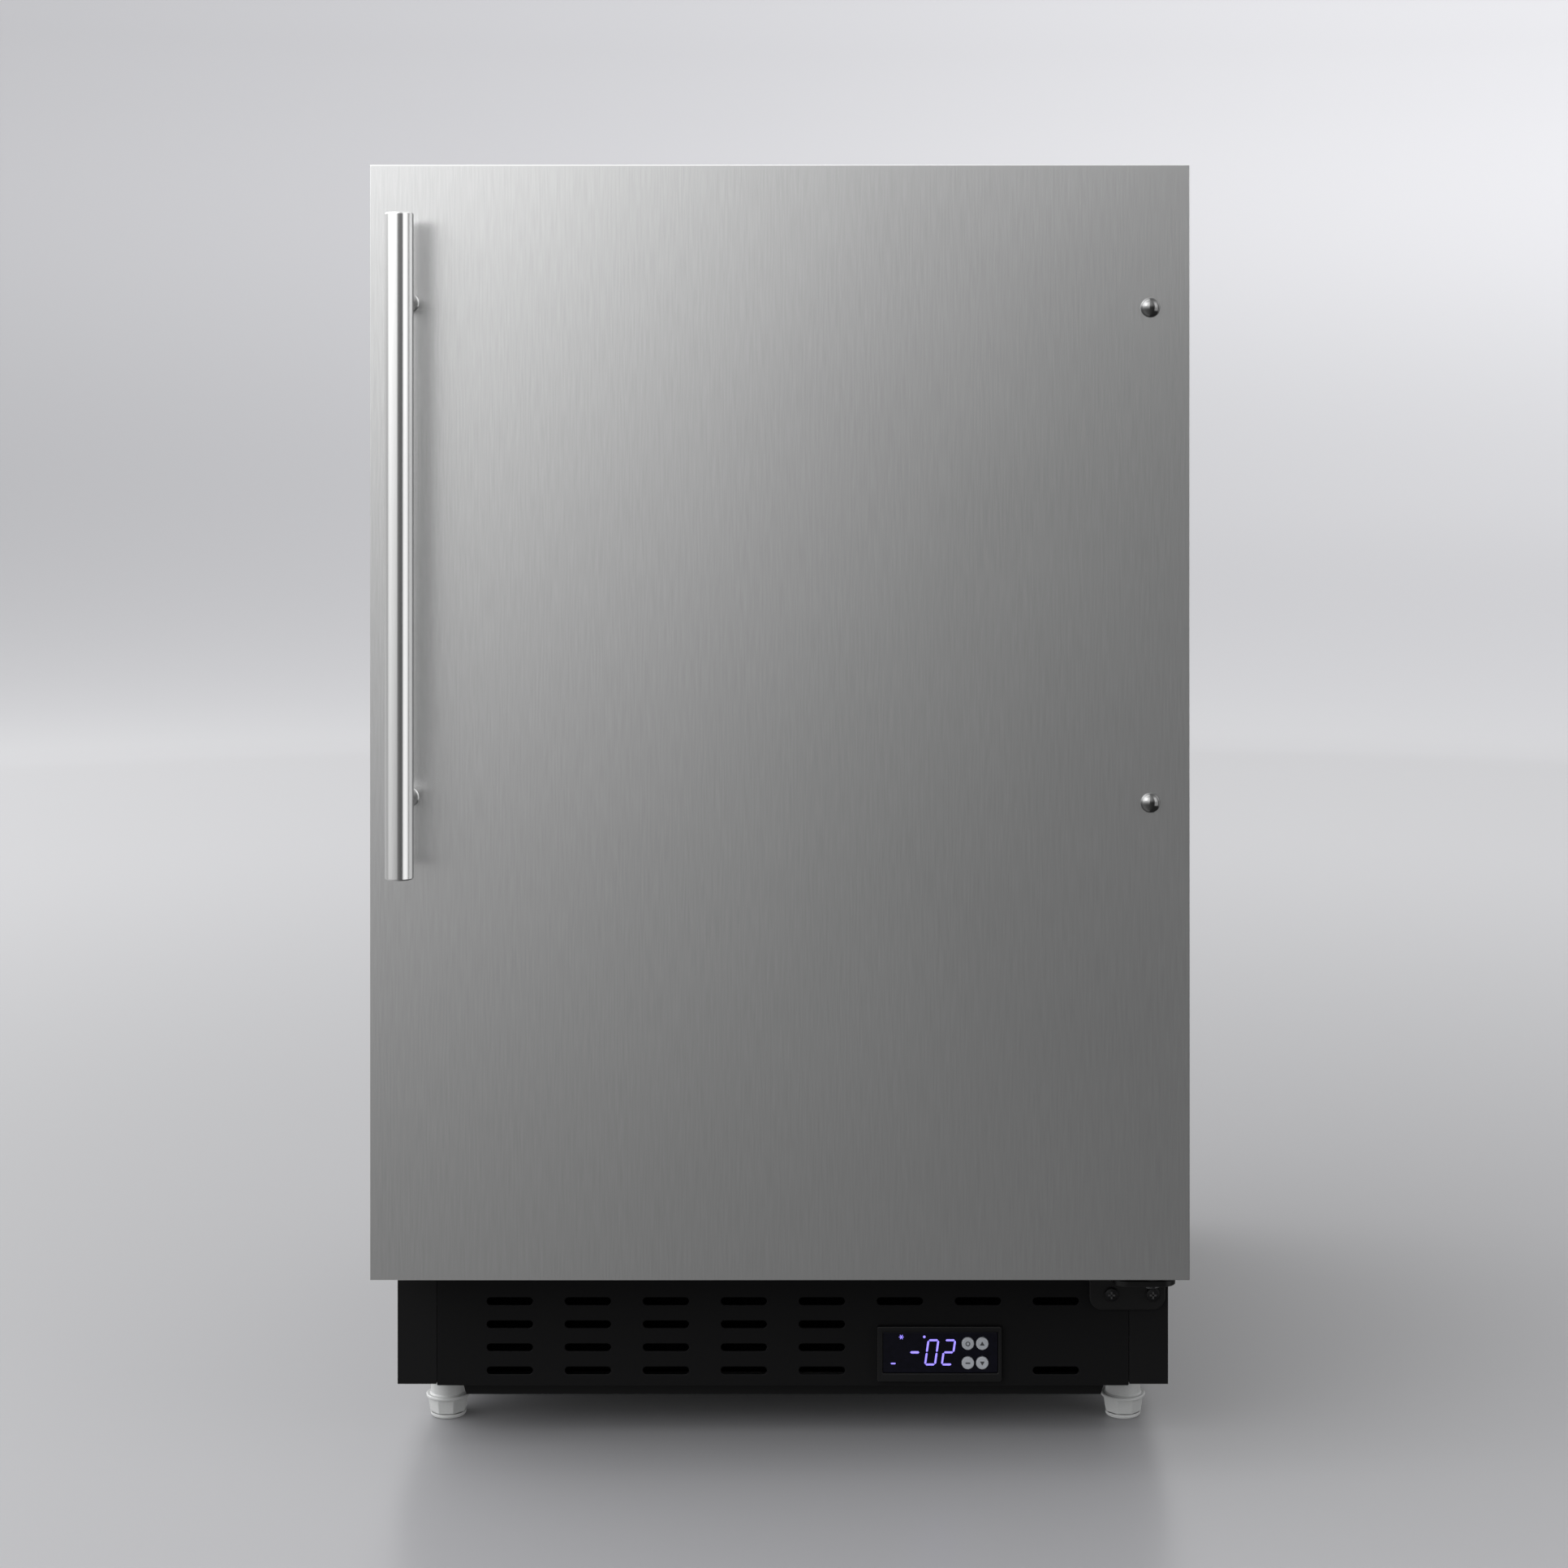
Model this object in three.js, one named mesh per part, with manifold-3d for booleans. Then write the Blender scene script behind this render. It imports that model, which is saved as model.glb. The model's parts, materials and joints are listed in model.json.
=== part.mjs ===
// Undercounter refrigerator: a black steel cabinet with one stainless door hinged on the right.
// Millimetres. +X is to the right seen from the front, -Y is the front, +Z is up.
// The origin is on the floor, below the middle of the object's box.
import * as THREE from "three";
import { mergeVertices } from "three/addons/utils/BufferGeometryUtils.js";
import Module from "manifold-3d";

const wasm = await Module();
wasm.setup();

// ---------------------------------------------------------------- driving dimensions

const GAP = 0.3; // between neighbouring pieces
const SHEET = 1; // steel sheet
const WALL = 2; // moulded plastic wall

const DOOR = { half: 249, front: -264, rear: -218, bottom: 122.3, top: 800 };
const DOOR_LIP = 10; // depth of the skin's top and bottom folds
const DOOR_RECESS = 10; // how far the top cap sits below the skin's top edge
const CAP = 12; // thickness of the door's end caps
const DYKE = { half: 190, bottom: 160, top: 742, rear: -180, rail: 18 };
const GASKET = { half: 225, bottom: 131, top: 771, width: 18 };
const RACK = { half: 171.5, rear: -138, height: 70, wall: 2.5, floors: { upper: 450, lower: 190 } };

const HINGE = { x: 228, y: -241, pin: 3 };
const HANDLE = { x: -225, y: -301.5, radius: 8.5, bottom: 372, top: 768 };
const POST = { radius: 6, upper: 716, lower: 416 };
const PLUG = { x: 225, radius: 6, height: 4.3, upper: 713.2, lower: 412.4 };
const STUD = 2.5; // radius of the studs that pass through the door skin

const CABINET = { half: 242, front: -206, rear: 298, bottom: 39.6, top: 792 };
const KICK_TOP = 118;
const KICK = { half: 217.3, bottom: 38.6, thickness: 1.5 };
const MOUTH = { half: 206.3, bottom: 147.7, top: 754.3 }; // opening in the cabinet's front face
const LINER = { half: 206, bottom: 148, top: 754, rear: 242, stepY: 70, stepZ: 328 };
const BAY = { front: 112, top: 300 }; // compressor bay, below and behind the liner's step
const REAR = 310; // the stand-offs' rear faces

const SLOT = { length: 29, height: 4.8, firstX: -171.5, pitch: 49, rows: [91.5, 77, 62.5, 48] };
const SLOT_ROWS = [4, 4, 4, 4, 4].map((rows) => SLOT.rows.slice(0, rows))
  .concat([[91.5], [91.5], [91.5, 48]]); // the rows of slots in each column, left to right

const PANEL = { x: 98.3, z: 59.6, width: 78, height: 34.4, front: -210 }; // controller bezel
const WINDOW = { left: 62.9, right: 134.8, bottom: 47.8, top: 73.1 };
const BUTTON = { radius: 3.9, xs: [116.1, 125.1], zs: [66.1, 54] };

const BASE = { bottom: 40, thickness: 1.5 };
const LIP = { half: 205, bottom: 28, front: -191, slant: 4 }; // the base pan's front fold
const FOOT = { x: 219, frontY: -146, rearY: 246, neck: 11.3, collar: 14.3, sole: 2.7 };
const STUD_M8 = 4; // radius of a foot's threaded stud

const SHELF = { half: 201.5, front: -120, rear: 182, heights: { upper: 545, lower: 340 } };
const LEDGE = { width: 8, height: 6 };
const COVER = { half: 172, front: 186, bottom: 345, top: 745 }; // in front of the evaporator
const EVAPORATOR_FAN = { x: 0, z: 672, hub: 12, tip: 46, front: 192, rear: 203.5 };
const CONDENSER_FAN = { x: -110, z: 132, hub: 22, tip: 75, front: 126, rear: 146 };
const COMPRESSOR = { x: 115, y: 205, radius: 75, top: 225 };
const CORD = { x: -180, z: 80, radius: 3.5, exit: 9 }; // exit is the hole's radius

// ---------------------------------------------------------------- materials

const material = (color, roughness, metalness, more = {}) =>
  new THREE.MeshStandardMaterial({ color, roughness, metalness, ...more });

const stainless = material("#a3a4a4", 0.34, 1);
const polished = material("#d6d8d8", 0.16, 1);
const zinc = material("#9aa0a3", 0.42, 0.9);
const blackPaint = material("#161719", 0.45, 0.2);
const blackPlastic = material("#101113", 0.5, 0);
const whitePlastic = material("#eceef0", 0.4, 0);
const greyPlastic = material("#a9acad", 0.55, 0);
const nylon = material("#dcdcd6", 0.5, 0);
const foam = material("#e6d9a8", 0.95, 0);
const rubber = material("#1c1c1d", 0.85, 0);
const clearPlastic = material("#dfe8ee", 0.1, 0, { transparent: true, opacity: 0.45 });
const smokedPlastic = material("#07080c", 0.12, 0);
const buttonGrey = material("#b9bcc0", 0.5, 0);
const aluminium = material("#c7c9cb", 0.35, 1);
const coatedWire = material("#f2f3f4", 0.35, 0.1);

// ---------------------------------------------------------------- solids

const both = (half) => [-half, half];

// A closed geometry as a manifold solid. Its faces may have been wound either way round.
function solid(geometry) {
  const bare = geometry.clone();
  bare.deleteAttribute("normal");
  bare.deleteAttribute("uv");
  const merged = mergeVertices(bare, 1e-4);
  const vertProperties = merged.attributes.position.array;
  const triVerts = new Uint32Array(merged.index.array);
  const made = new wasm.Manifold(new wasm.Mesh({ numProp: 3, vertProperties, triVerts }));
  if (made.volume() > 0) return made;
  triVerts.reverse();
  return new wasm.Manifold(new wasm.Mesh({ numProp: 3, vertProperties, triVerts }));
}

const joined = (solids) => solids.reduce((sum, next) => sum.add(next));
const cut = (body, tools) => tools.reduce((rest, tool) => rest.subtract(tool), body);

function block([x0, x1], [y0, y1], [z0, z1]) {
  const geometry = new THREE.BoxGeometry(x1 - x0, y1 - y0, z1 - z0);
  geometry.translate((x0 + x1) / 2, (y0 + y1) / 2, (z0 + z1) / 2);
  return solid(geometry);
}

// A round bar along one axis. centre holds its other two coordinates, in X, Y, Z order.
function bar(axis, radius, [a, b], [from, to], sides = 16) {
  const geometry = new THREE.CylinderGeometry(radius, radius, to - from, sides);
  const middle = (from + to) / 2;
  if (axis === "x") geometry.rotateZ(Math.PI / 2).translate(middle, a, b);
  if (axis === "y") geometry.translate(a, middle, b);
  if (axis === "z") geometry.rotateX(Math.PI / 2).translate(a, b, middle);
  return solid(geometry);
}

// A solid of revolution about a vertical axis through (x, y). Each point is [radius, height].
function turned(profile, [x, y], sides = 16) {
  const points = profile.map(([radius, height]) => new THREE.Vector2(radius, height));
  const geometry = new THREE.LatheGeometry(points, sides);
  return solid(geometry.rotateX(Math.PI / 2).translate(x, y, 0));
}

// The same about an axis that points forwards from a face at y. Heights run out of the face.
function turnedForwards(profile, [x, y, z], sides = 16) {
  const points = profile.map(([radius, height]) => new THREE.Vector2(radius, height));
  const geometry = new THREE.LatheGeometry(points, sides);
  return solid(geometry.rotateX(Math.PI).translate(x, y, z));
}

// An outline drawn in X and Z, as thick as its Y span.
function plate(shape, [y0, y1]) {
  const geometry = new THREE.ExtrudeGeometry(shape, {
    depth: y1 - y0,
    bevelEnabled: false,
    curveSegments: 2,
  });
  return solid(geometry.rotateX(Math.PI / 2).translate(0, y1, 0));
}

// An outline drawn in Y and Z, as wide as its X span.
function profileAlongX(points, [x0, x1]) {
  const shape = new THREE.Shape(points.map(([y, z]) => new THREE.Vector2(y, z)));
  const geometry = new THREE.ExtrudeGeometry(shape, { depth: x1 - x0, bevelEnabled: false });
  return solid(geometry.rotateX(Math.PI / 2).rotateZ(Math.PI / 2).translate(x0, 0, 0));
}

// A rectangular ring that lies across Y.
function ring(half, [bottom, top], width, span) {
  const outer = block(both(half), span, [bottom, top]);
  const wide = [span[0] - 1, span[1] + 1];
  return outer.subtract(block(both(half - width), wide, [bottom + width, top - width]));
}

function rectangle([x0, x1], [z0, z1]) {
  const shape = new THREE.Shape();
  shape.moveTo(x0, z0).lineTo(x1, z0).lineTo(x1, z1).lineTo(x0, z1).closePath();
  return shape;
}

// A level slot with round ends.
function slotPath(x, z, length, height) {
  const r = height / 2;
  const reach = length / 2 - r;
  const path = new THREE.Path();
  path.moveTo(x - reach, z - r).lineTo(x + reach, z - r);
  path.absarc(x + reach, z, r, -Math.PI / 2, Math.PI / 2);
  path.lineTo(x - reach, z + r).absarc(x - reach, z, r, Math.PI / 2, Math.PI * 1.5);
  return path;
}

function circlePath(x, z, radius, sides = 16) {
  const points = Array.from({ length: sides }, (_, i) => {
    const angle = (i / sides) * Math.PI * 2;
    return new THREE.Vector2(x + radius * Math.cos(angle), z + radius * Math.sin(angle));
  });
  return new THREE.Path(points);
}

// ---------------------------------------------------------------- scene graph

const refrigerator = new THREE.Group();
refrigerator.name = "undercounter_refrigerator";

function add(name, body, finish) {
  const mesh = body.getMesh();
  const geometry = new THREE.BufferGeometry();
  const position = new THREE.BufferAttribute(mesh.vertProperties, 3);
  geometry.setAttribute("position", position).setIndex(new THREE.BufferAttribute(mesh.triVerts, 1));
  geometry.computeVertexNormals();
  const made = new THREE.Mesh(geometry, finish);
  made.name = name;
  refrigerator.add(made);
}

// ---------------------------------------------------------------- door

// The posts' and plugs' studs, which pass through the skin into the foam.
function doorStudHoles(span) {
  const radius = STUD + GAP;
  return [
    ...[POST.upper, POST.lower].map((z) => bar("y", radius, [HANDLE.x, z], span)),
    ...[PLUG.upper, PLUG.lower].map((z) => bar("y", radius, [PLUG.x, z], span)),
  ];
}

// A folded pan: full side returns, and short folds along the top and bottom. The side returns
// step down behind the top fold, so the upper hinge arm is free as the door swings.
function doorSkin() {
  const { half, front, bottom, top } = DOOR;
  const returns = DOOR.rear - WALL;
  const pan = block(both(half), [front, returns], [bottom, top]);
  const lipRear = front + DOOR_LIP;
  const inner = both(half - SHEET);
  return cut(pan, [
    block(inner, [front + SHEET, returns + 1], [bottom + SHEET, top - SHEET]),
    block(inner, [lipRear, returns + 1], [bottom - 1, top + 1]),
    block(both(half + 1), [lipRear, returns + 1], [top - DOOR_RECESS - GAP, top + 1]),
    ...doorStudHoles([front - 1, front + SHEET + 1]),
  ]);
}

// The space inside the skin, between the front sheet and the inner liner.
const doorInside = both(DOOR.half - SHEET - GAP);
const doorCore = [DOOR.front + SHEET + GAP, DOOR.rear - WALL - GAP];
const capTop = DOOR.top - DOOR_RECESS;
const bottomCap = DOOR.bottom + SHEET + GAP;

function bushHole() {
  return bar("z", 6 + GAP, [HINGE.x, HINGE.y], [DOOR.bottom - 10, DOOR.top + 10]);
}

function doorTopCap() {
  const slab = block(doorInside, doorCore, [capTop - CAP, capTop]);
  const ribSpan = [doorCore[0], DOOR.front + DOOR_LIP - GAP];
  const rib = block(doorInside, ribSpan, [capTop - 1, DOOR.top - SHEET - GAP]);
  return slab.add(rib).subtract(bushHole());
}

function doorBottomCap() {
  return block(doorInside, doorCore, [bottomCap, bottomCap + CAP]).subtract(bushHole());
}

function doorFoam() {
  const slab = block(doorInside, doorCore, [bottomCap + CAP + GAP, capTop - CAP - GAP]);
  const skin = WALL + GAP;
  const heights = [DYKE.bottom + skin, DYKE.top - skin];
  const span = [doorCore[1] - 1, DYKE.rear - skin];
  const dyke = ring(DYKE.half - skin, heights, DYKE.rail - 2 * skin, span);
  const holes = doorStudHoles([DOOR.front, DOOR.front + 20]);
  return cut(slab.add(dyke), holes);
}

// The white panel on the door's inside, with a raised ring that carries the racks.
function doorInnerLiner() {
  const flat = [DOOR.rear - WALL, DOOR.rear];
  const panel = block(doorInside, flat, [bottomCap, capTop - GAP]);
  const heights = [DYKE.bottom, DYKE.top];
  const raised = ring(DYKE.half, heights, DYKE.rail, [DOOR.rear - 1, DYKE.rear]);
  const hollowHeights = [DYKE.bottom + WALL, DYKE.top - WALL];
  const hollowSpan = [DOOR.rear - WALL - 1, DYKE.rear - WALL];
  const hollow = ring(DYKE.half - WALL, hollowHeights, DYKE.rail - 2 * WALL, hollowSpan);
  return panel.add(raised).subtract(hollow);
}

// A hollow magnetic seal. The groove round its outside lets it fold like a bellows.
function doorGasket() {
  const span = [DOOR.rear + GAP, CABINET.front - GAP];
  const { half, bottom, top, width } = GASKET;
  const groove = ring(half + 1, [bottom - 1, top + 1], 5, [span[0] + 4, span[0] + 7]);
  return ring(half, [bottom, top], width, span).subtract(groove);
}

// An open tray between the raised ring's side rails.
function doorRack(floor) {
  const { half, rear, height, wall } = RACK;
  const span = [DOOR.rear + GAP, rear];
  const tray = block(both(half), span, [floor, floor + height]);
  const inside = [span[0] + wall, rear - wall];
  return tray.subtract(block(both(half - wall), inside, [floor + wall, floor + height + 1]));
}

function handleRod() {
  const { x, y, radius, bottom, top } = HANDLE;
  const chamfer = 1.2;
  const profile = [
    [0, bottom],
    [radius - chamfer, bottom],
    [radius, bottom + chamfer],
    [radius, top - chamfer],
    [radius - chamfer, top],
    [0, top],
  ];
  return turned(profile, [x, y], 24);
}

// A stand-off with a saddle end against the rod, and a stud through the skin.
function handlePost(z) {
  const { x, y, radius } = HANDLE;
  const post = bar("y", POST.radius, [x, z], [y, DOOR.front - GAP]);
  const stud = bar("y", STUD, [x, z], [DOOR.front - 1, DOOR.front + 14], 12);
  return post.add(stud).subtract(bar("z", radius + GAP, [x, y], [z - 20, z + 20], 24));
}

// A domed plug in one of the spare handle holes.
function holePlug(z) {
  const { x, radius, height } = PLUG;
  const steps = 3;
  const dome = Array.from({ length: steps }, (_, i) => {
    const angle = ((i + 1) / steps) * (Math.PI / 2);
    return [radius * Math.cos(angle), GAP + height * Math.sin(angle)];
  });
  const profile = [[0, -8], [STUD, -8], [STUD, GAP], [radius, GAP], ...dome];
  return turnedForwards(profile, [x, DOOR.front, z]);
}

// A flanged nylon sleeve in an end cap. The flange is at the hinge plate's side.
function hingeBush(flangeOuter, flangeInner, sleeveEnd) {
  const bore = HINGE.pin + GAP;
  const profile = [
    [bore, flangeOuter],
    [9, flangeOuter],
    [9, flangeInner],
    [6, flangeInner],
    [6, sleeveEnd],
    [bore, sleeveEnd],
    [bore, flangeOuter],
  ];
  return turned(profile, [HINGE.x, HINGE.y]);
}

add("door_skin", doorSkin(), stainless);
add("door_foam", doorFoam(), foam);
add("door_inner_liner", doorInnerLiner(), whitePlastic);
add("door_gasket", doorGasket(), rubber);
add("door_top_cap", doorTopCap(), blackPlastic);
add("door_bottom_cap", doorBottomCap(), blackPlastic);
add("handle_rod", handleRod(), polished);
for (const end of ["upper", "lower"]) {
  add(`handle_post_${end}`, handlePost(POST[end]), polished);
  add(`hole_plug_${end}`, holePlug(PLUG[end]), polished);
  add(`door_rack_${end}`, doorRack(RACK.floors[end]), clearPlastic);
}

// ---------------------------------------------------------------- hinges

const LOWER_LEAF = [113.8, 117.3];
const UPPER_LEAF = [CABINET.top + GAP, CABINET.top + GAP + 3];
const UPPER_SCREWS = [[192, -182], [222, -182]];
const LOWER_SCREWS = [[206, 97], [232, 97]];
const SCREW = { radius: 2, head: 4.5, height: 2.4, length: 9 };
const screwHole = SCREW.radius + GAP;
const pinHole = (heights) => bar("z", HINGE.pin + GAP, [HINGE.x, HINGE.y], heights);

// An L-shaped bracket: a leg screwed to the kick, and a leaf that runs forwards under the door.
function lowerHingeBracket() {
  const { front } = CABINET;
  const [left, right, bottom, corner] = [192.4, 239.9, 87, 8];
  const legTop = LOWER_LEAF[1];
  const shape = new THREE.Shape();
  shape.moveTo(left, legTop).lineTo(left, bottom + corner);
  shape.absarc(left + corner, bottom + corner, corner, Math.PI, Math.PI * 1.5);
  shape.absarc(right - corner, bottom + corner, corner, -Math.PI / 2, 0);
  shape.lineTo(right, legTop).closePath();
  for (const [x, z] of LOWER_SCREWS) shape.holes.push(circlePath(x, z, screwHole));
  const leg = plate(shape, [front - GAP - 3, front - GAP]);
  const leaf = block([204, 242.7], [-250, front - GAP - 1], LOWER_LEAF);
  return leg.add(leaf).subtract(pinHole([LOWER_LEAF[0] - 1, LOWER_LEAF[1] + 1]));
}

// A flat plate on the cabinet's top. Its arm stays to the left of the door's swinging corner.
function upperHingeBracket() {
  const arm = block([204, 225], [-248, -180], UPPER_LEAF);
  const eye = bar("z", 9.5, [HINGE.x, HINGE.y], UPPER_LEAF);
  const foot = block([180, 236], [-200, -164], UPPER_LEAF);
  const span = [UPPER_LEAF[0] - 1, UPPER_LEAF[1] + 1];
  const holes = UPPER_SCREWS.map((centre) => bar("z", screwHole, centre, span));
  return cut(arm.add(eye).add(foot), [pinHole(span), ...holes]);
}

// A headed pin whose shank runs from its head through the leaf into the door's bush.
function hingePin(headOuter, headInner, end) {
  const profile = [
    [0, headOuter],
    [5, headOuter],
    [5, headInner],
    [HINGE.pin, headInner],
    [HINGE.pin, end],
    [0, end],
  ];
  return turned(profile, [HINGE.x, HINGE.y]);
}

// A pan-head screw. Heights run out of the face it clamps.
const screwProfile = [
  [0, -SCREW.length],
  [SCREW.radius, -SCREW.length],
  [SCREW.radius, GAP],
  [SCREW.head, GAP],
  [SCREW.head, GAP + SCREW.height * 0.5],
  [SCREW.head * 0.6, GAP + SCREW.height],
  [0, GAP + SCREW.height],
];

function upperScrew([x, y]) {
  const raised = screwProfile.map(([radius, height]) => [radius, UPPER_LEAF[1] + height]);
  return turned(raised, [x, y], 12);
}

const lowerScrew = ([x, z]) => turnedForwards(screwProfile, [x, CABINET.front - GAP - 3, z], 12);

add("lower_hinge_bracket", lowerHingeBracket(), blackPaint);
add("upper_hinge_bracket", upperHingeBracket(), blackPaint);
add("lower_hinge_pin", hingePin(LOWER_LEAF[0] - 2.3, LOWER_LEAF[0] - GAP, 133), zinc);
add("upper_hinge_pin", hingePin(UPPER_LEAF[1] + 2.3, UPPER_LEAF[1] + GAP, 779), zinc);
add("hinge_bush_lower", hingeBush(LOWER_LEAF[1] + GAP, bottomCap - GAP, bottomCap + CAP - GAP), nylon);
add("hinge_bush_upper", hingeBush(UPPER_LEAF[0] - GAP, capTop + GAP, capTop - CAP + GAP), nylon);
UPPER_SCREWS.forEach((at, i) => add(`upper_hinge_screw_${i + 1}`, upperScrew(at), zinc));
LOWER_SCREWS.forEach((at, i) => add(`lower_hinge_screw_${i + 1}`, lowerScrew(at), zinc));

// ---------------------------------------------------------------- cabinet

// Top, sides and front face folded from black steel. The face is open at the liner's mouth
// and at the kick, and leaves a rail between them for the gasket.
function outerWrapper() {
  const { half, front, rear, bottom, top } = CABINET;
  const inner = half - SHEET;
  const shell = block(both(half), [front, rear], [bottom, top]);
  const openings = [
    block(both(inner), [front + SHEET, rear + 1], [bottom - 1, top - SHEET]),
    block(both(MOUTH.half), [front - 1, front + 2], [MOUTH.bottom, MOUTH.top]),
    block(both(KICK.half + GAP), [front - 1, front + 2], [bottom - 1, KICK_TOP]),
    ...UPPER_SCREWS.map((centre) => bar("z", screwHole, centre, [top - 3, top + 3])),
    bar("y", screwHole, LOWER_SCREWS[1], [front - 1, front + 3]),
  ];
  return cut(shell, openings);
}

// The liner's side outline in Y and Z, grown by a margin, with its front left open.
function linerOutline(margin, front) {
  const { bottom, top, rear, stepY, stepZ } = LINER;
  return [
    [front, bottom - margin],
    [stepY + margin, bottom - margin],
    [stepY + margin, stepZ - margin],
    [rear + margin, stepZ - margin],
    [rear + margin, top + margin],
    [front, top + margin],
  ];
}

// The white compartment, with a step over the compressor and ledges for the shelves.
function innerLiner() {
  const { half } = LINER;
  const shell = profileAlongX(linerOutline(0, CABINET.front), both(half));
  const hollow = profileAlongX(linerOutline(-WALL, CABINET.front - 1), both(half - WALL));
  const ledges = Object.values(SHELF.heights).flatMap((z) =>
    [-1, 1].map((side) => {
      const edges = [side * (half - 1), side * (half - WALL - LEDGE.width)].sort((a, b) => a - b);
      return block(edges, [-150, SHELF.rear], [z - LEDGE.height, z - GAP]);
    }),
  );
  return joined([shell.subtract(hollow), ...ledges]);
}

// Foam that fills the space between the wrapper and the liner.
function insulationFoam() {
  const inner = CABINET.half - SHEET - GAP;
  const span = [CABINET.front + SHEET + GAP, CABINET.rear - 3 - GAP];
  const top = CABINET.top - SHEET - GAP;
  const solidFoam = block(both(inner), span, [KICK_TOP + 2, top]);
  return cut(solidFoam, [
    profileAlongX(linerOutline(GAP, CABINET.front - 1), both(LINER.half + GAP)),
    block(both(inner + 1), [BAY.front, CABINET.rear + 1], [0, BAY.top]),
    ...UPPER_SCREWS.map((centre) => bar("z", screwHole, centre, [top - 12, top + 1])),
  ]);
}

const rearPanelSpan = [CABINET.rear - 3, CABINET.rear - 3 + SHEET];
const rearPanelHalf = CABINET.half - SHEET - GAP;

function backPanel() {
  const top = CABINET.top - SHEET - GAP;
  return block(both(rearPanelHalf), rearPanelSpan, [BAY.top + GAP, top]);
}

// A vented sheet behind the compressor, with two folded stand-offs that hold it off the wall.
function compressorCover() {
  const outline = rectangle(both(rearPanelHalf), [45, BAY.top]);
  for (let row = 0; row < 5; row++)
    for (const x of [-110, 0, 110]) outline.holes.push(slotPath(x, 115 + 20 * row, 84, 7));
  outline.holes.push(circlePath(CORD.x, CORD.z, CORD.exit));
  const standOffs = [-1, 1].map((side) => {
    const outer = [side * 222, side * 196].sort((a, b) => a - b);
    const inner = [outer[0] + 1.5, outer[1] - 1.5];
    const span = [rearPanelSpan[1] - 0.5, REAR];
    const hoop = block(outer, span, [180, 220]);
    return hoop.subtract(block(inner, [rearPanelSpan[1], REAR - 1.5], [170, 230]));
  });
  return joined([plate(outline, rearPanelSpan), ...standOffs]);
}

const footPlaces = {
  front_left: [-FOOT.x, FOOT.frontY],
  front_right: [FOOT.x, FOOT.frontY],
  rear_left: [-FOOT.x, FOOT.rearY],
  rear_right: [FOOT.x, FOOT.rearY],
};

// The steel floor under the machinery, with a fold that hangs below it between the front feet.
function basePan() {
  const { bottom, thickness } = BASE;
  const span = [CABINET.front + KICK.thickness + GAP, CABINET.rear - 3 - GAP];
  const floor = block(both(CABINET.half - SHEET - GAP), span, [bottom, bottom + thickness]);
  const outline = new THREE.Shape();
  outline.moveTo(-LIP.half, bottom + 1).lineTo(-LIP.half + LIP.slant, LIP.bottom);
  outline.lineTo(LIP.half - LIP.slant, LIP.bottom).lineTo(LIP.half, bottom + 1).closePath();
  const fold = plate(outline, [LIP.front, LIP.front + thickness]);
  const holes = Object.values(footPlaces).map((at) =>
    bar("z", STUD_M8 + GAP, at, [bottom - 1, bottom + 3]),
  );
  return cut(floor.add(fold), holes);
}

// The black panel under the door, with rows of air slots and a cut-out for the controller.
function kickGrille() {
  const outline = rectangle(both(KICK.half), [KICK.bottom, KICK_TOP - GAP]);
  SLOT_ROWS.forEach((rows, column) => {
    const x = SLOT.firstX + SLOT.pitch * column;
    for (const z of rows) outline.holes.push(slotPath(x, z, SLOT.length, SLOT.height));
  });
  const cutOut = rectangle([PANEL.x - 35.7, PANEL.x + 35.7], [PANEL.z - 14.7, PANEL.z + 14.7]);
  outline.holes.push(cutOut, circlePath(...LOWER_SCREWS[0], screwHole));
  return plate(outline, [CABINET.front, CABINET.front + KICK.thickness]);
}

add("outer_wrapper", outerWrapper(), blackPaint);
add("inner_liner", innerLiner(), whitePlastic);
add("insulation_foam", insulationFoam(), foam);
add("back_panel", backPanel(), zinc);
add("compressor_cover", compressorCover(), zinc);
add("base_pan", basePan(), blackPaint);
add("kick_grille", kickGrille(), blackPaint);

// ---------------------------------------------------------------- controller

const windowSpan = [PANEL.front + 0.8, PANEL.front + 2.6];

// A bezel in front of the kick, with a box behind it and a pocket for the window and buttons.
function controllerCase() {
  const { x, z, width, height, front } = PANEL;
  const bezelRear = CABINET.front - GAP;
  const across = [x - width / 2, x + width / 2];
  const bezel = block(across, [front, bezelRear], [z - height / 2, z + height / 2]);
  const box = block([x - 35.3, x + 35.3], [bezelRear - 0.5, -165], [z - 14.3, z + 14.3]);
  const window = block(
    [WINDOW.left - GAP, WINDOW.right + GAP],
    [front - 1, windowSpan[1] + GAP],
    [WINDOW.bottom - GAP, WINDOW.top + GAP],
  );
  const well = block(
    [BUTTON.xs[0] - 5.6, BUTTON.xs[1] + 5.6],
    [front, -202.5],
    [BUTTON.zs[1] - 5.4, BUTTON.zs[0] + 5.4],
  );
  return cut(bezel.add(box), [window, well]);
}

function controllerWindow() {
  const outline = rectangle([WINDOW.left, WINDOW.right], [WINDOW.bottom, WINDOW.top]);
  for (const x of BUTTON.xs)
    for (const z of BUTTON.zs) outline.holes.push(circlePath(x, z, BUTTON.radius + GAP));
  return plate(outline, windowSpan);
}

function controllerButton(x, z) {
  const { radius } = BUTTON;
  const profile = [[0, -4.5], [radius, -4.5], [radius, 0.5], [radius - 0.6, 0.9], [0, 1]];
  return turnedForwards(profile, [x, windowSpan[0], z]);
}

add("controller_case", controllerCase(), blackPlastic);
add("controller_window", controllerWindow(), smokedPlastic);
BUTTON.zs.forEach((z, row) =>
  BUTTON.xs.forEach((x, column) =>
    add(`controller_button_${2 * row + column + 1}`, controllerButton(x, z), buttonGrey),
  ),
);

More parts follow.
